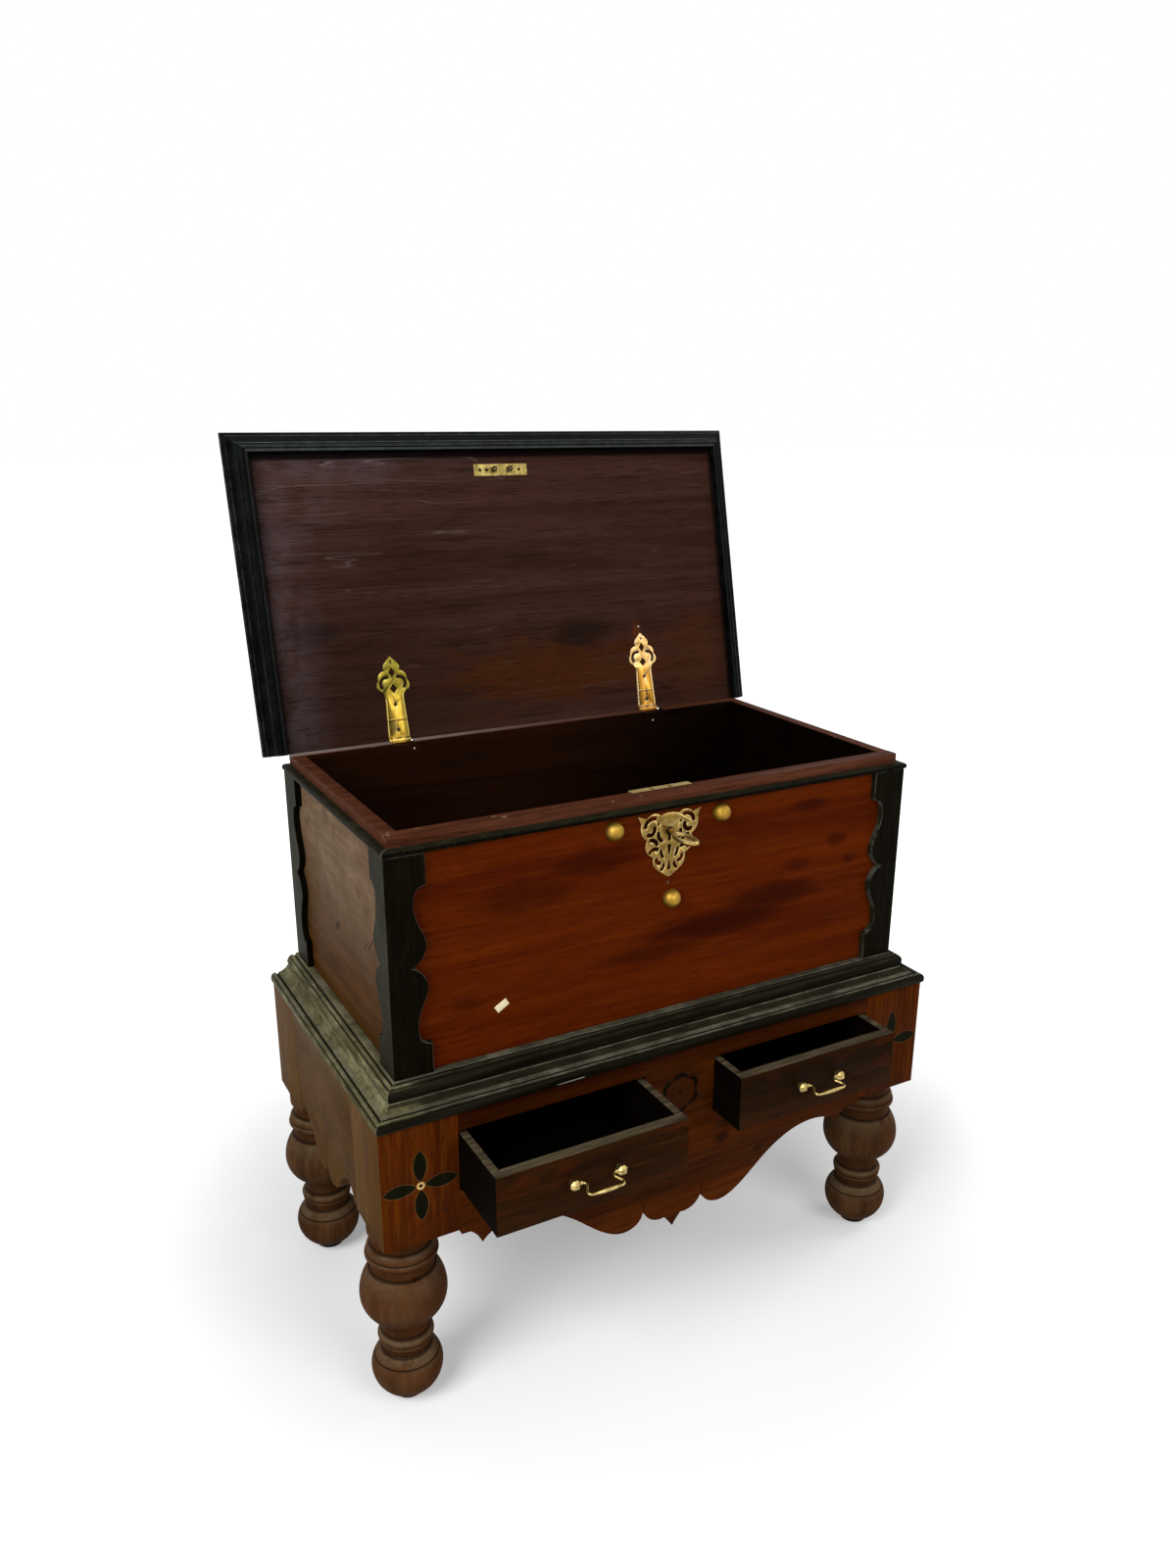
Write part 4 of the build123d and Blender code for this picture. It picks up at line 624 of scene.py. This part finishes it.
# ---- Paper square on the front ------------------------------------------------
# A small plain square of cream paper, glued on aslant low on the front board. Two
# of its corners have begun to lift.


def piece_of(name, sheets, material, body, wall=None):
    """A mesh of grids of points: each cell is a four-sided face, and shared points merge."""
    points, faces, start = [], [], 0
    for sheet in sheets:
        rows, columns = sheet.shape[:2]
        row, column = np.meshgrid(np.arange(rows - 1), np.arange(columns - 1), indexing="ij")
        corner = (start + row * columns + column).ravel()
        around = [corner, corner + 1, corner + columns + 1, corner + columns]
        faces.append(np.stack(around, axis=1))
        points.append(sheet.reshape(-1, 3))
        start += rows * columns
    mesh = bpy.data.meshes.new(name)
    mesh.from_pydata(np.concatenate(points).tolist(), [], np.concatenate(faces).tolist())
    shape = bmesh.new()
    shape.from_mesh(mesh)
    bmesh.ops.remove_doubles(shape, verts=shape.verts, dist=SAME_POINT)
    bmesh.ops.recalc_face_normals(shape, faces=shape.faces)
    shape.to_mesh(mesh)
    shape.free()
    mesh.shade_smooth()
    piece = bpy.data.objects.new(name, mesh)
    bpy.context.scene.collection.objects.link(piece)
    mesh.materials.append(material)
    if wall:
        piece.modifiers.new("wall", "SOLIDIFY").thickness = wall
    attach(piece, body)


paper_width, paper_height, paper_wall = 0.0215, 0.0120, 0.0002
paper_slant = np.radians(31)
paper_middle = np.array((-0.2840, front_face - 0.0003, 0.6381))
corner_lift = 0.0012

paper = Finish("cream_paper", specular=0.1)
fibres = paper.noise(1500, 3, 0.6)
face = paper.mix(fibres, (0.66, 0.5400, 0.2900), (0.88, 0.7800, 0.5200))
paper_finish = paper.done(face, 0.8)

# The point (u, v) of the square, turned by its slant; it lifts off as |u + v| passes 0.6.
u, v = np.meshgrid(np.linspace(-0.5, 0.5, 9), np.linspace(-0.5, 0.5, 7), indexing="ij")
across, above = u * paper_width, v * paper_height
offset_x = across * np.cos(paper_slant) - above * np.sin(paper_slant)
offset_y = -corner_lift * np.clip(np.abs(u + v) - 0.6, 0, 1) ** 2
offset_z = across * np.sin(paper_slant) + above * np.cos(paper_slant)
square = paper_middle + np.stack([offset_x, offset_y, offset_z], axis=-1)
piece_of("paper_square", [square], paper_finish, "chest_and_stand", paper_wall)

# ---- Brass and iron of the lock ---------------------------------------------
# The escutcheon is sawn from brass plate and its edges are filed bright, with a painted
# highlight. The domed nails, key and handles are cast, the key with a painted highlight on
# its top and a painted shadow round it on the plate, and the selvedge is let into the rim
# and nailed twice. The case, the bolt, the staples and the hinge pins are iron.


def brass(name, bright, dull, scale, flat=None, edge=None):
    """Brass rubbed bright and tarnished in patches, its faces turned down painted darker as
    shade. A plate's flat is the way that it faces, and edge is its colour where it turns off
    that: filed bright, with a painted highlight."""
    finish = Finish(name)
    tarnish = finish.noise(scale, 5, 0.65).rise(0.36, 0.66)
    face = finish.mix(tarnish, bright, dull)
    # Painted shade: faces turned down are painted darker.
    under = finish.facing_z.rise(0.2, -0.8)
    face = finish.mix(under * 0.55, face, tuple(part * 0.35 for part in dull))
    if edge is not None:
        face = finish.mix(finish.toward(flat).rise(0.985, 0.85) * 0.8, face, edge)
    pits = finish.noise(900, 2, 0.6)
    face = finish.mix(pits.rise(0.60, 0.74) * 0.45, face, tuple(part * 0.25 for part in dull))
    return finish, face, tarnish * 0.16 + 0.30, pits


key_low, key_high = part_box("key")
key_x = (key_low[0] + key_high[0]) / 2
key_z = 0.8640
finish, face, rough, pits = brass(
    "sawn_escutcheon_brass", (0.230, 0.1460, 0.0350), (0.110, 0.0660, 0.0120), 60,
    flat=(0, 1, 0), edge=(0.700, 0.5200, 0.2000),
)
# Painted shadow: the plate round the key is painted dark.
keyhole_shadow = distance(finish.x - key_x, finish.z - key_z).rise(0.0085, 0.0055)
face = finish.mix(keyhole_shadow * 0.85, face, (0.030, 0.0180, 0.0040))
escutcheon_finish = finish.done(face, rough, pits, 0.0002, metallic=1.0)
eased(escutcheon_finish, ["escutcheon"], width=0.0005, segments=1)

finish, face, rough, pits = brass(
    "domed_nail_brass", (0.380, 0.2300, 0.0380), (0.260, 0.1480, 0.0200), 70
)
dress(finish.done(face, rough + 0.16, pits, 0.0001, metallic=1.0), "boss_nails")

finish, face, rough, pits = brass(
    "cast_key_brass", (0.400, 0.2700, 0.0900), (0.150, 0.0900, 0.0200), 90
)
# Painted highlight: the key's faces turned up are painted pale.
face = finish.mix(finish.facing_z.rise(0.5, 0.95) * 0.65, face, (0.700, 0.5400, 0.2500))
dress(finish.done(face, rough, pits, 0.0002, metallic=1.0), "key")

selvedge_low, selvedge_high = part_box("selvedge_plate")
selvedge_y = (selvedge_low[1] + selvedge_high[1]) / 2
finish, face, rough, pits = brass(
    "selvedge_brass", (0.620, 0.5000, 0.2200), (0.420, 0.3200, 0.1200), 80
)
for share in (0.33, 0.66):
    nail_x = selvedge_low[0] + share * (selvedge_high[0] - selvedge_low[0])
    nail = distance(finish.x - nail_x, finish.y - selvedge_y).rise(0.0026, 0.0016)
    face = finish.mix(nail * 0.9, face, (0.020, 0.0120, 0.0040))
dress(finish.done(face, rough + 0.1, pits, 0.0002, metallic=1.0), "selvedge_plate")

finish, face, rough, pits = brass(
    "cast_handle_brass", (0.500, 0.3800, 0.1500), (0.230, 0.1600, 0.0500), 110
)
handle_finish = finish.done(face, rough - 0.05, pits, 0.0002, metallic=1.0)
dress(handle_finish, "drawer_left_handle_posts", "drawer_right_handle_posts")
dress(handle_finish, "bail_left", "bail_right")

iron = Finish("dark_iron")
rust = iron.noise(200, 5, 0.7)
face = iron.mix(rust.rise(0.4, 0.65), (0.030, 0.0260, 0.0220), (0.070, 0.0320, 0.0160))
iron_finish = iron.done(face, rust * 0.3 + 0.4, rust, 0.0003, metallic=0.8)
dress(iron_finish, "lock_case", "lock_bolt", "lid_staples", "hinge_pins")

# ---- Hinges -----------------------------------------------------------------
# Two strap hinges of cast brass, nailed under the lid and behind the chest. Each
# leaf under the lid has a row of beads along both edges and two beaded ribs across
# its foot, and green verdigris has grown on the left one.
lid_lean = np.radians(12.7)
lid_up = np.array((0, np.sin(lid_lean), np.cos(lid_lean)))
lid_out = np.array((0, -np.cos(lid_lean), np.sin(lid_lean)))
sideways = np.array((1.0, 0.0, 0.0))
upright = np.array((0.0, 0.0, 1.0))
backwards = np.array((0.0, 1.0, 0.0))
pin_low, pin_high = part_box("hinge_pins")
hinge_y = (pin_low[1] + pin_high[1]) / 2
hinge_z = (pin_low[2] + pin_high[2]) / 2
hinge_x = 0.251
leaf_foot = 0.005
leaf_face_in = 0.0003
nail_places = (0.013, 0.057, 0.129)
strap_end = 0.066
foot_half_width, foot_taper = 0.0152, 0.044
cross_groove = 0.0295


def along_lid(finish):
    """How far up the open lid a point lies: its way from the pin along the lid's own up."""
    return (finish.y - hinge_y) * lid_up[1] + (finish.z - hinge_z) * lid_up[2]


gold, face, rough, pits = brass(
    "golden_hinge_brass", (0.640, 0.4300, 0.0600), (0.400, 0.2400, 0.0240), 45,
    flat=lid_out, edge=(0.800, 0.6200, 0.2400),
)
up_leaf = along_lid(gold) - leaf_foot
pierced = up_leaf.rise(strap_end, strap_end + 0.014)
pale = gold.x.rise(-0.1, 0.1)
face = gold.mix(pale * 0.65, face, (0.400, 0.1500, 0.0200))
face = gold.mix(pale * pierced * 0.6, face, (0.560, 0.3800, 0.1500))
verdigris = gold.noise(60, 4, 0.6).rise(0.30, 0.60)
old = pierced.most((gold.x + hinge_x).rise(0.006, 0.014) * 0.7) * gold.x.rise(0.0, -0.1)
face = gold.mix(old * (0.60 + verdigris * 0.35), face, (0.120, 0.1050, 0.0120))
plain = up_leaf.rise(strap_end + 0.008, strap_end + 0.002)
groove = up_leaf.near(cross_groove, 0.0022, 0.0006) * plain
face = gold.mix(groove * 0.8, face, (0.110, 0.0600, 0.0080))
beside = abs(abs(gold.x) - hinge_x)
side_grooves = (beside + up_leaf * foot_taper).near(foot_half_width, 0.0013, 0.0005) * plain
face = gold.mix(side_grooves * 0.7, face, (0.130, 0.0750, 0.0100))
# Painted highlight: the rims of the lid leaves are painted pale, the right one paler.
bright = gold.mix(pale, (0.560, 0.4800, 0.1000), (0.900, 0.7800, 0.5000))
highlight_rims = gold.toward(lid_out).rise(0.985, 0.85) * up_leaf.rise(-0.0025, 0.0005)
face = gold.mix(highlight_rims * (0.45 + pale * 0.3), face, bright)
for along in nail_places[:2]:
    nail = distance(beside, up_leaf - along).rise(0.0042, 0.0026)
    face = gold.mix(nail * 0.9, face, (0.020, 0.0110, 0.0030))
gold_finish = gold.done(face, rough, pits, 0.0003, metallic=1.0)
eased(gold_finish, ["hinge_lid_leaves"], width=0.0005, segments=1)
dress(gold_finish, "hinge_body_leaves")

lid_plate_up = 0.45525
lid_plate_nails = (-0.0425, -0.0295, -0.0175, 0.0125, 0.0335)
plate, face, rough, pits = brass(
    "lid_plate_brass", (0.300, 0.2350, 0.0740), (0.150, 0.1100, 0.0300), 70,
    flat=lid_out, edge=(0.600, 0.5000, 0.2400),
)
for across in lid_plate_nails:
    nail = distance(plate.x - across, along_lid(plate) - lid_plate_up).rise(0.0040, 0.0024)
    face = plate.mix(nail * 0.9, face, (0.020, 0.0130, 0.0040))
dress(plate.done(face, rough, pits, 0.0003, metallic=1.0), "lid_plate")


def knob(centre, up, out, radius, height):
    """A nail's head: the ball (cos a cos b, sin a cos b, sin b), flattened along out."""
    around, over = np.linspace(0, 2 * np.pi, 17), np.linspace(-np.pi / 2, np.pi / 2, 9)
    a, b = np.meshgrid(around, over, indexing="ij")
    side = np.cross(up, out)
    flat = (np.cos(a) * np.cos(b))[..., None] * side + (np.sin(a) * np.cos(b))[..., None] * up
    return centre + radius * flat + height * np.sin(b)[..., None] * out


def bead_row(start, end, side, out, radius, beads):
    """A bar from start to end: its radius swells as the root of |sin|, never falls under
    0.55 of the whole between beads, and is nothing at both ends."""
    along, around = np.linspace(0, 1, 4 * beads + 1), np.linspace(0, 2 * np.pi, 9)
    t, turn = np.meshgrid(along, around, indexing="ij")
    swell = radius * np.maximum(np.sqrt(np.abs(np.sin(np.pi * beads * t))), 0.55)
    swell[[0, -1]] = 0
    ring = np.cos(turn)[..., None] * side + np.sin(turn)[..., None] * out
    return start + t[..., None] * (end - start) + swell[..., None] * ring


def on_leaf(side, across, along):
    """A point of a lid leaf's face, across from its middle line and up from its foot."""
    foot = np.array((side * hinge_x + across, hinge_y, hinge_z)) - leaf_face_in * lid_out
    return foot + (leaf_foot + along) * lid_up


edge_low, edge_high = (0.0176, 0.003), (0.0148, 0.067)
edge_radius, edge_beads = 0.0009, 24
rib_half, rib_places = 0.0165, (0.0015, 0.031)
rib_radius, rib_beads = 0.0010, 14
nail_radius, nail_sunk = 0.0019, 0.0006
leaf_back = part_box("hinge_body_leaves")[0][1] + 0.0015
leaf_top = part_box("chest_back_board")[1][2] - 0.004
rows, heads, back_heads = [], [], []
for side in (-1, 1):
    for edge in (-1, 1):
        low = on_leaf(side, edge * edge_low[0], edge_low[1])
        high = on_leaf(side, edge * edge_high[0], edge_high[1])
        rows.append(bead_row(low, high, sideways, lid_out, edge_radius, edge_beads))
    for along in rib_places:
        left, right = on_leaf(side, -rib_half, along), on_leaf(side, rib_half, along)
        rows.append(bead_row(left, right, lid_up, lid_out, rib_radius, rib_beads))
    for along in nail_places:
        place = on_leaf(side, 0, along) - nail_sunk * lid_out
        heads.append(knob(place, lid_up, lid_out, nail_radius, height=0.0007))
        place = np.array((side * hinge_x, leaf_back, leaf_top - along))
        back_heads.append(knob(place, upright, backwards, nail_radius, height=0.0010))
piece_of("hinge_bead_rows", rows, gold_finish, "lid")
piece_of("hinge_nails_lid", heads, iron_finish, "lid")
piece_of("hinge_nails_back", back_heads, iron_finish, "chest_and_stand")

# The points of three newer steel nails have come through by the leaves.
steel = Finish("bright_nail_steel")
face = steel.mix(steel.noise(800, 3, 0.6), (0.50, 0.4700, 0.4400), (0.85, 0.8200, 0.7800))
steel_finish = steel.done(face, 0.3)
place = on_leaf(1, -0.0015, 0.1520) - 0.0016 * lid_out
tip = knob(place, lid_up, lid_out, radius=0.0016, height=0.0009)
piece_of("bright_nail_lid", [tip], steel_finish, "lid")
back_points = ((-0.2353, 0.9144), (0.2459, 0.9082))
tips = [
    knob(np.array((x, inner_back, z)), upright, -backwards, radius=0.0015, height=0.0010)
    for x, z in back_points
]
piece_of("bright_nails_back_board", tips, steel_finish, "chest_and_stand")

# ---- Lid --------------------------------------------------------------------
# One wide panel, purple-brown and unpolished beneath, scratched where goods have
# dragged on it, in a mitred frame of black moulding whose beads have rubbed grey. The
# frame's top run is painted lighter, as lit from above, and a painted shadow lies along
# the frame on the panel.
lid_length = 0.4886
lid_half = 0.4490

# The middle of each stain, across and up, its half sizes, its strength and its colour.
lid_stains = (
    (0.070, 1.010, 0.260, 0.075, 0.75, (0.052, 0.0130, 0.0016)),
    (0.370, 1.020, 0.100, 0.100, 0.50, (0.058, 0.0160, 0.0030)),
    (0.245, 1.072, 0.014, 0.016, 0.70, (0.090, 0.0240, 0.0040)),
    (0.130, 1.075, 0.075, 0.035, 0.75, (0.010, 0.0050, 0.0026)),
    (-0.380, 1.110, 0.060, 0.030, 0.60, (0.009, 0.0060, 0.0060)),
)

lid = Finish("purple_brown_lid_panel", WOOD_SHEEN)
figure, streak, pores = lid.grain("x")
face = lid.mix(figure.rise(0.3, 0.7), (0.0250, 0.0092, 0.0060), (0.0430, 0.0180, 0.0125))
face = lid.mix(streak.rise(0.5, 0.75) * 0.20, face, (0.056, 0.0300, 0.0220))
low = lid.z.rise(1.20, 1.0) * lid.x.rise(0.1, -0.3)
face = lid.mix(low * 0.6, face, (0.0200, 0.0085, 0.0050))
for *place, strength, colour in lid_stains:
    face = lid.mix(lid.patch(*place, ragged=0.9) * strength, face, colour)
bloom = lid.x.rise(-0.34, -0.43).most(lid.z.rise(1.33, 1.375) * lid.x.rise(0.0, -0.3))
bloom = bloom.most(lid.x.rise(-0.22, -0.42) * lid.z.rise(1.12, 1.32) * 0.6)
bloom = bloom * lid.noise(18, 5, 0.65).rise(0.30, 0.6)
face = lid.mix(bloom * 0.45, face, (0.074, 0.0540, 0.0600))
fine = lid.scratches(14, 0.010, (0.05, 1, 6), turn=(0, 0.03, 0))
long = lid.scratches(3, 0.005, (0.35, 1, 8), turn=(0, -0.08, 0), shift=(2, 0, 1))
upper_left = lid.z.rise(1.12, 1.32) * lid.x.rise(0.25, -0.25)
face = lid.mix(fine * 0.5 * (upper_left * 0.38 + 0.12), face, (0.110, 0.0800, 0.0700))
face = lid.mix(long * (upper_left * 0.40 + 0.08), face, (0.140, 0.1080, 0.0960))
dark_lines = lid.noise(90, 3, 0.6, along=(0.06, 1, 1)).rise(0.60, 0.68)
face = lid.mix(dark_lines * 0.5, face, (0.0090, 0.0045, 0.0034))
# Painted shadow: the panel is painted near black in a band along the mouldings, as the shadow
# they cast.
moulding_shadow = along_lid(lid).rise(lid_length - 0.014, lid_length - 0.009)
moulding_shadow = moulding_shadow.most(abs(lid.x).rise(lid_half - 0.010, lid_half - 0.004) * 0.8)
face = lid.mix(moulding_shadow * 0.92, face, (0.0015, 0.0012, 0.0012))
face = lid.mix(pores * 0.5, face, (0.0080, 0.0040, 0.0030))
top = lid.mix(figure.rise(0.3, 0.7), (0.040, 0.0105, 0.0040), (0.085, 0.0260, 0.0090))
face = lid.mix(lid.facing_y.rise(0.3, 0.8), face, top)
lid_finish = lid.done(face, figure * 0.25 + 0.5, streak * 0.6 - pores, 0.0003)
eased(lid_finish, ["lid_panel"], width=0.0010)

# The frame's mouldings by their distance from the panel: a flat, a quirk, a bead, a
# worn line, a hollow, a second quirk and two outer arrises.
inner_quirk, worn_line, hollow_middle, outer_quirk = 0.0062, 0.0168, 0.0215, 0.0279
inner_arris, outer_arris = 0.0292, 0.0352

frame_wood = Finish("black_lid_moulding", WOOD_SHEEN)
above = along_lid(frame_wood) - lid_length
beside = abs(frame_wood.x) - lid_half
out = above.most(beside)
# Painted light: the run on top while the lid is open is painted lighter than the side runs, as if
# lit from above; the bands below are scaled by it.
lit_top_run = (above - beside).rise(-0.0008, 0.0008)
streak = frame_wood.noise(150, 3, 0.6, along=(0.2, 0.2, 0.2))
worn = frame_wood.noise(50, 5, 0.75).rise(0.40, 0.66)
face = frame_wood.mix(streak.rise(0.35, 0.7), (0.0010, 0.0014, 0.0013), (0.0042, 0.0054, 0.0048))
hollow = out.near(hollow_middle, 0.0075, 0.0045)
face = frame_wood.mix(hollow * lit_top_run * 0.6, face, (0.0105, 0.0130, 0.0115))
bead = out.rise(inner_quirk, inner_quirk + 0.0010) * out.rise(0.0145, 0.0115)
bead = bead * (0.04 + lit_top_run * 0.71) * (0.5 + worn * 0.4)
face = frame_wood.mix(bead, face, (0.040, 0.0460, 0.0430))
line = out.near(worn_line, 0.0016, 0.0007) * (0.35 + worn * 0.5)
face = frame_wood.mix(line * (0.12 + lit_top_run * 0.88), face, (0.088, 0.0960, 0.0900))
flat = out.rise(inner_quirk - 0.0006, inner_quirk - 0.0012) * out.rise(0.0005, 0.0016)
flat = flat * (0.14 + lit_top_run * 0.61) * (0.7 + worn * 0.3)
face = frame_wood.mix(flat, face, (0.058, 0.0600, 0.0600))
arris_wear_and_highlight = out.near(inner_arris, 0.0012, 0.0005).most(out.near(outer_arris, 0.0010, 0.0004))
broken = frame_wood.noise(30, 5, 0.75).rise(0.40, 0.62)
arris_wear_and_highlight = arris_wear_and_highlight * (0.05 + broken * 0.3 + lit_top_run * 0.3)
face = frame_wood.mix(arris_wear_and_highlight, face, (0.085, 0.0860, 0.0780))
# Painted shade: the quirks are painted near black.
quirks = out.near(inner_quirk, 0.0016, 0.0008).most(out.near(outer_quirk, 0.0009, 0.0004))
face = frame_wood.mix(quirks * 0.9, face, (0.0010, 0.0010, 0.0010))
frame_finish = frame_wood.done(face, 0.42 - worn * 0.1, streak, 0.0004)
eased(frame_finish, ["lid_moulding_front", "lid_moulding_sides"], width=0.0006)

# ---- Floor, light and the view -----------------------------------------------
# The chest stands on a pale painted floor without edges, in a pale surround, under
# three soft square lamps. It is looked down on from the left of its front.
floor_reach = 40.0
dim_glow = 0.22
mesh = bpy.data.meshes.new("pale_floor")
corners = [(x * floor_reach, y * floor_reach, 0) for x, y in ((-1, -1), (1, -1), (1, 1), (-1, 1))]
mesh.from_pydata(corners, [], [(0, 1, 2, 3)])
floor = bpy.data.objects.new("pale_floor", mesh)
bpy.context.scene.collection.objects.link(floor)
ground = Finish("pale_floor_paint", specular=0.0)
seen = ground.node("LightPath", {}, output="Is Glossy Ray")
seen = seen.most(ground.node("LightPath", {}, output="Is Camera Ray"))
away = distance(ground.x, ground.y).rise(0.5, 1.5)
glow = seen * (dim_glow + away * (1 - dim_glow))
ground.feed(ground.shader.inputs["Emission Color"], ground.mix(glow, (0, 0, 0), (1, 1, 1)))
ground.shader.inputs["Emission Strength"].default_value = 1.0
mesh.materials.append(ground.done((0.80, 0.80, 0.80), 0.9))

world = bpy.data.worlds.new("pale_surround")
bpy.context.scene.world = world
world.use_nodes = True
sky = world.node_tree
background = sky.nodes["Background"]
background.inputs["Color"].default_value = (1, 1, 1, 1)
paths = sky.nodes.new("ShaderNodeLightPath")
both = sky.nodes.new("ShaderNodeMath")
both.operation = "MAXIMUM"
strength = sky.nodes.new("ShaderNodeMapRange")
strength.inputs["To Min"].default_value = dim_glow
strength.inputs["To Max"].default_value = 1.0
sky.links.new(paths.outputs["Is Camera Ray"], both.inputs[0])
sky.links.new(paths.outputs["Is Glossy Ray"], both.inputs[1])
sky.links.new(both.outputs[0], strength.inputs["Value"])
sky.links.new(strength.outputs["Result"], background.inputs["Strength"])


def lamp(name, place, aim, size, power):
    """A soft square lamp that points from its place to its aim."""
    light = bpy.data.lights.new(name, "AREA")
    light.shape = "SQUARE"
    light.size = size
    light.energy = power
    body = bpy.data.objects.new(name, light)
    bpy.context.scene.collection.objects.link(body)
    back = (Vector(place) - Vector(aim)).to_track_quat("Z", "Y")
    body.matrix_world = Matrix.Translation(place) @ back.to_matrix().to_4x4()


lamp("left_lamp", (-3.2, -1.6, 3.0), aim=(0, 0, 0.6), size=2.2, power=150)
lamp("front_lamp", (0.6, -3.6, 2.6), aim=(0, 0, 0.6), size=2.4, power=66)
lamp("right_lamp", (3.2, -0.6, 2.6), aim=(0, 0, 0.7), size=2.0, power=34)

eye = (-0.94329, -1.66777, 1.46817)
pan, tilt, roll = np.radians(-29.14), np.radians(-18.17), np.radians(0.26)
lens = bpy.data.cameras.new("view")
lens.lens = 27.89
lens.sensor_width = 36
lens.shift_x = -0.00636
lens.shift_y = 0.01635
lens.clip_end = 60
camera = bpy.data.objects.new("view", lens)
bpy.context.scene.collection.objects.link(camera)
turned = Matrix.Rotation(pan, 4, "Z") @ Matrix.Rotation(np.pi / 2 + tilt, 4, "X")
camera.matrix_world = Matrix.Translation(eye) @ turned @ Matrix.Rotation(roll, 4, "Z")
bpy.context.scene.camera = camera
bpy.context.scene.view_settings.view_transform = "Standard"
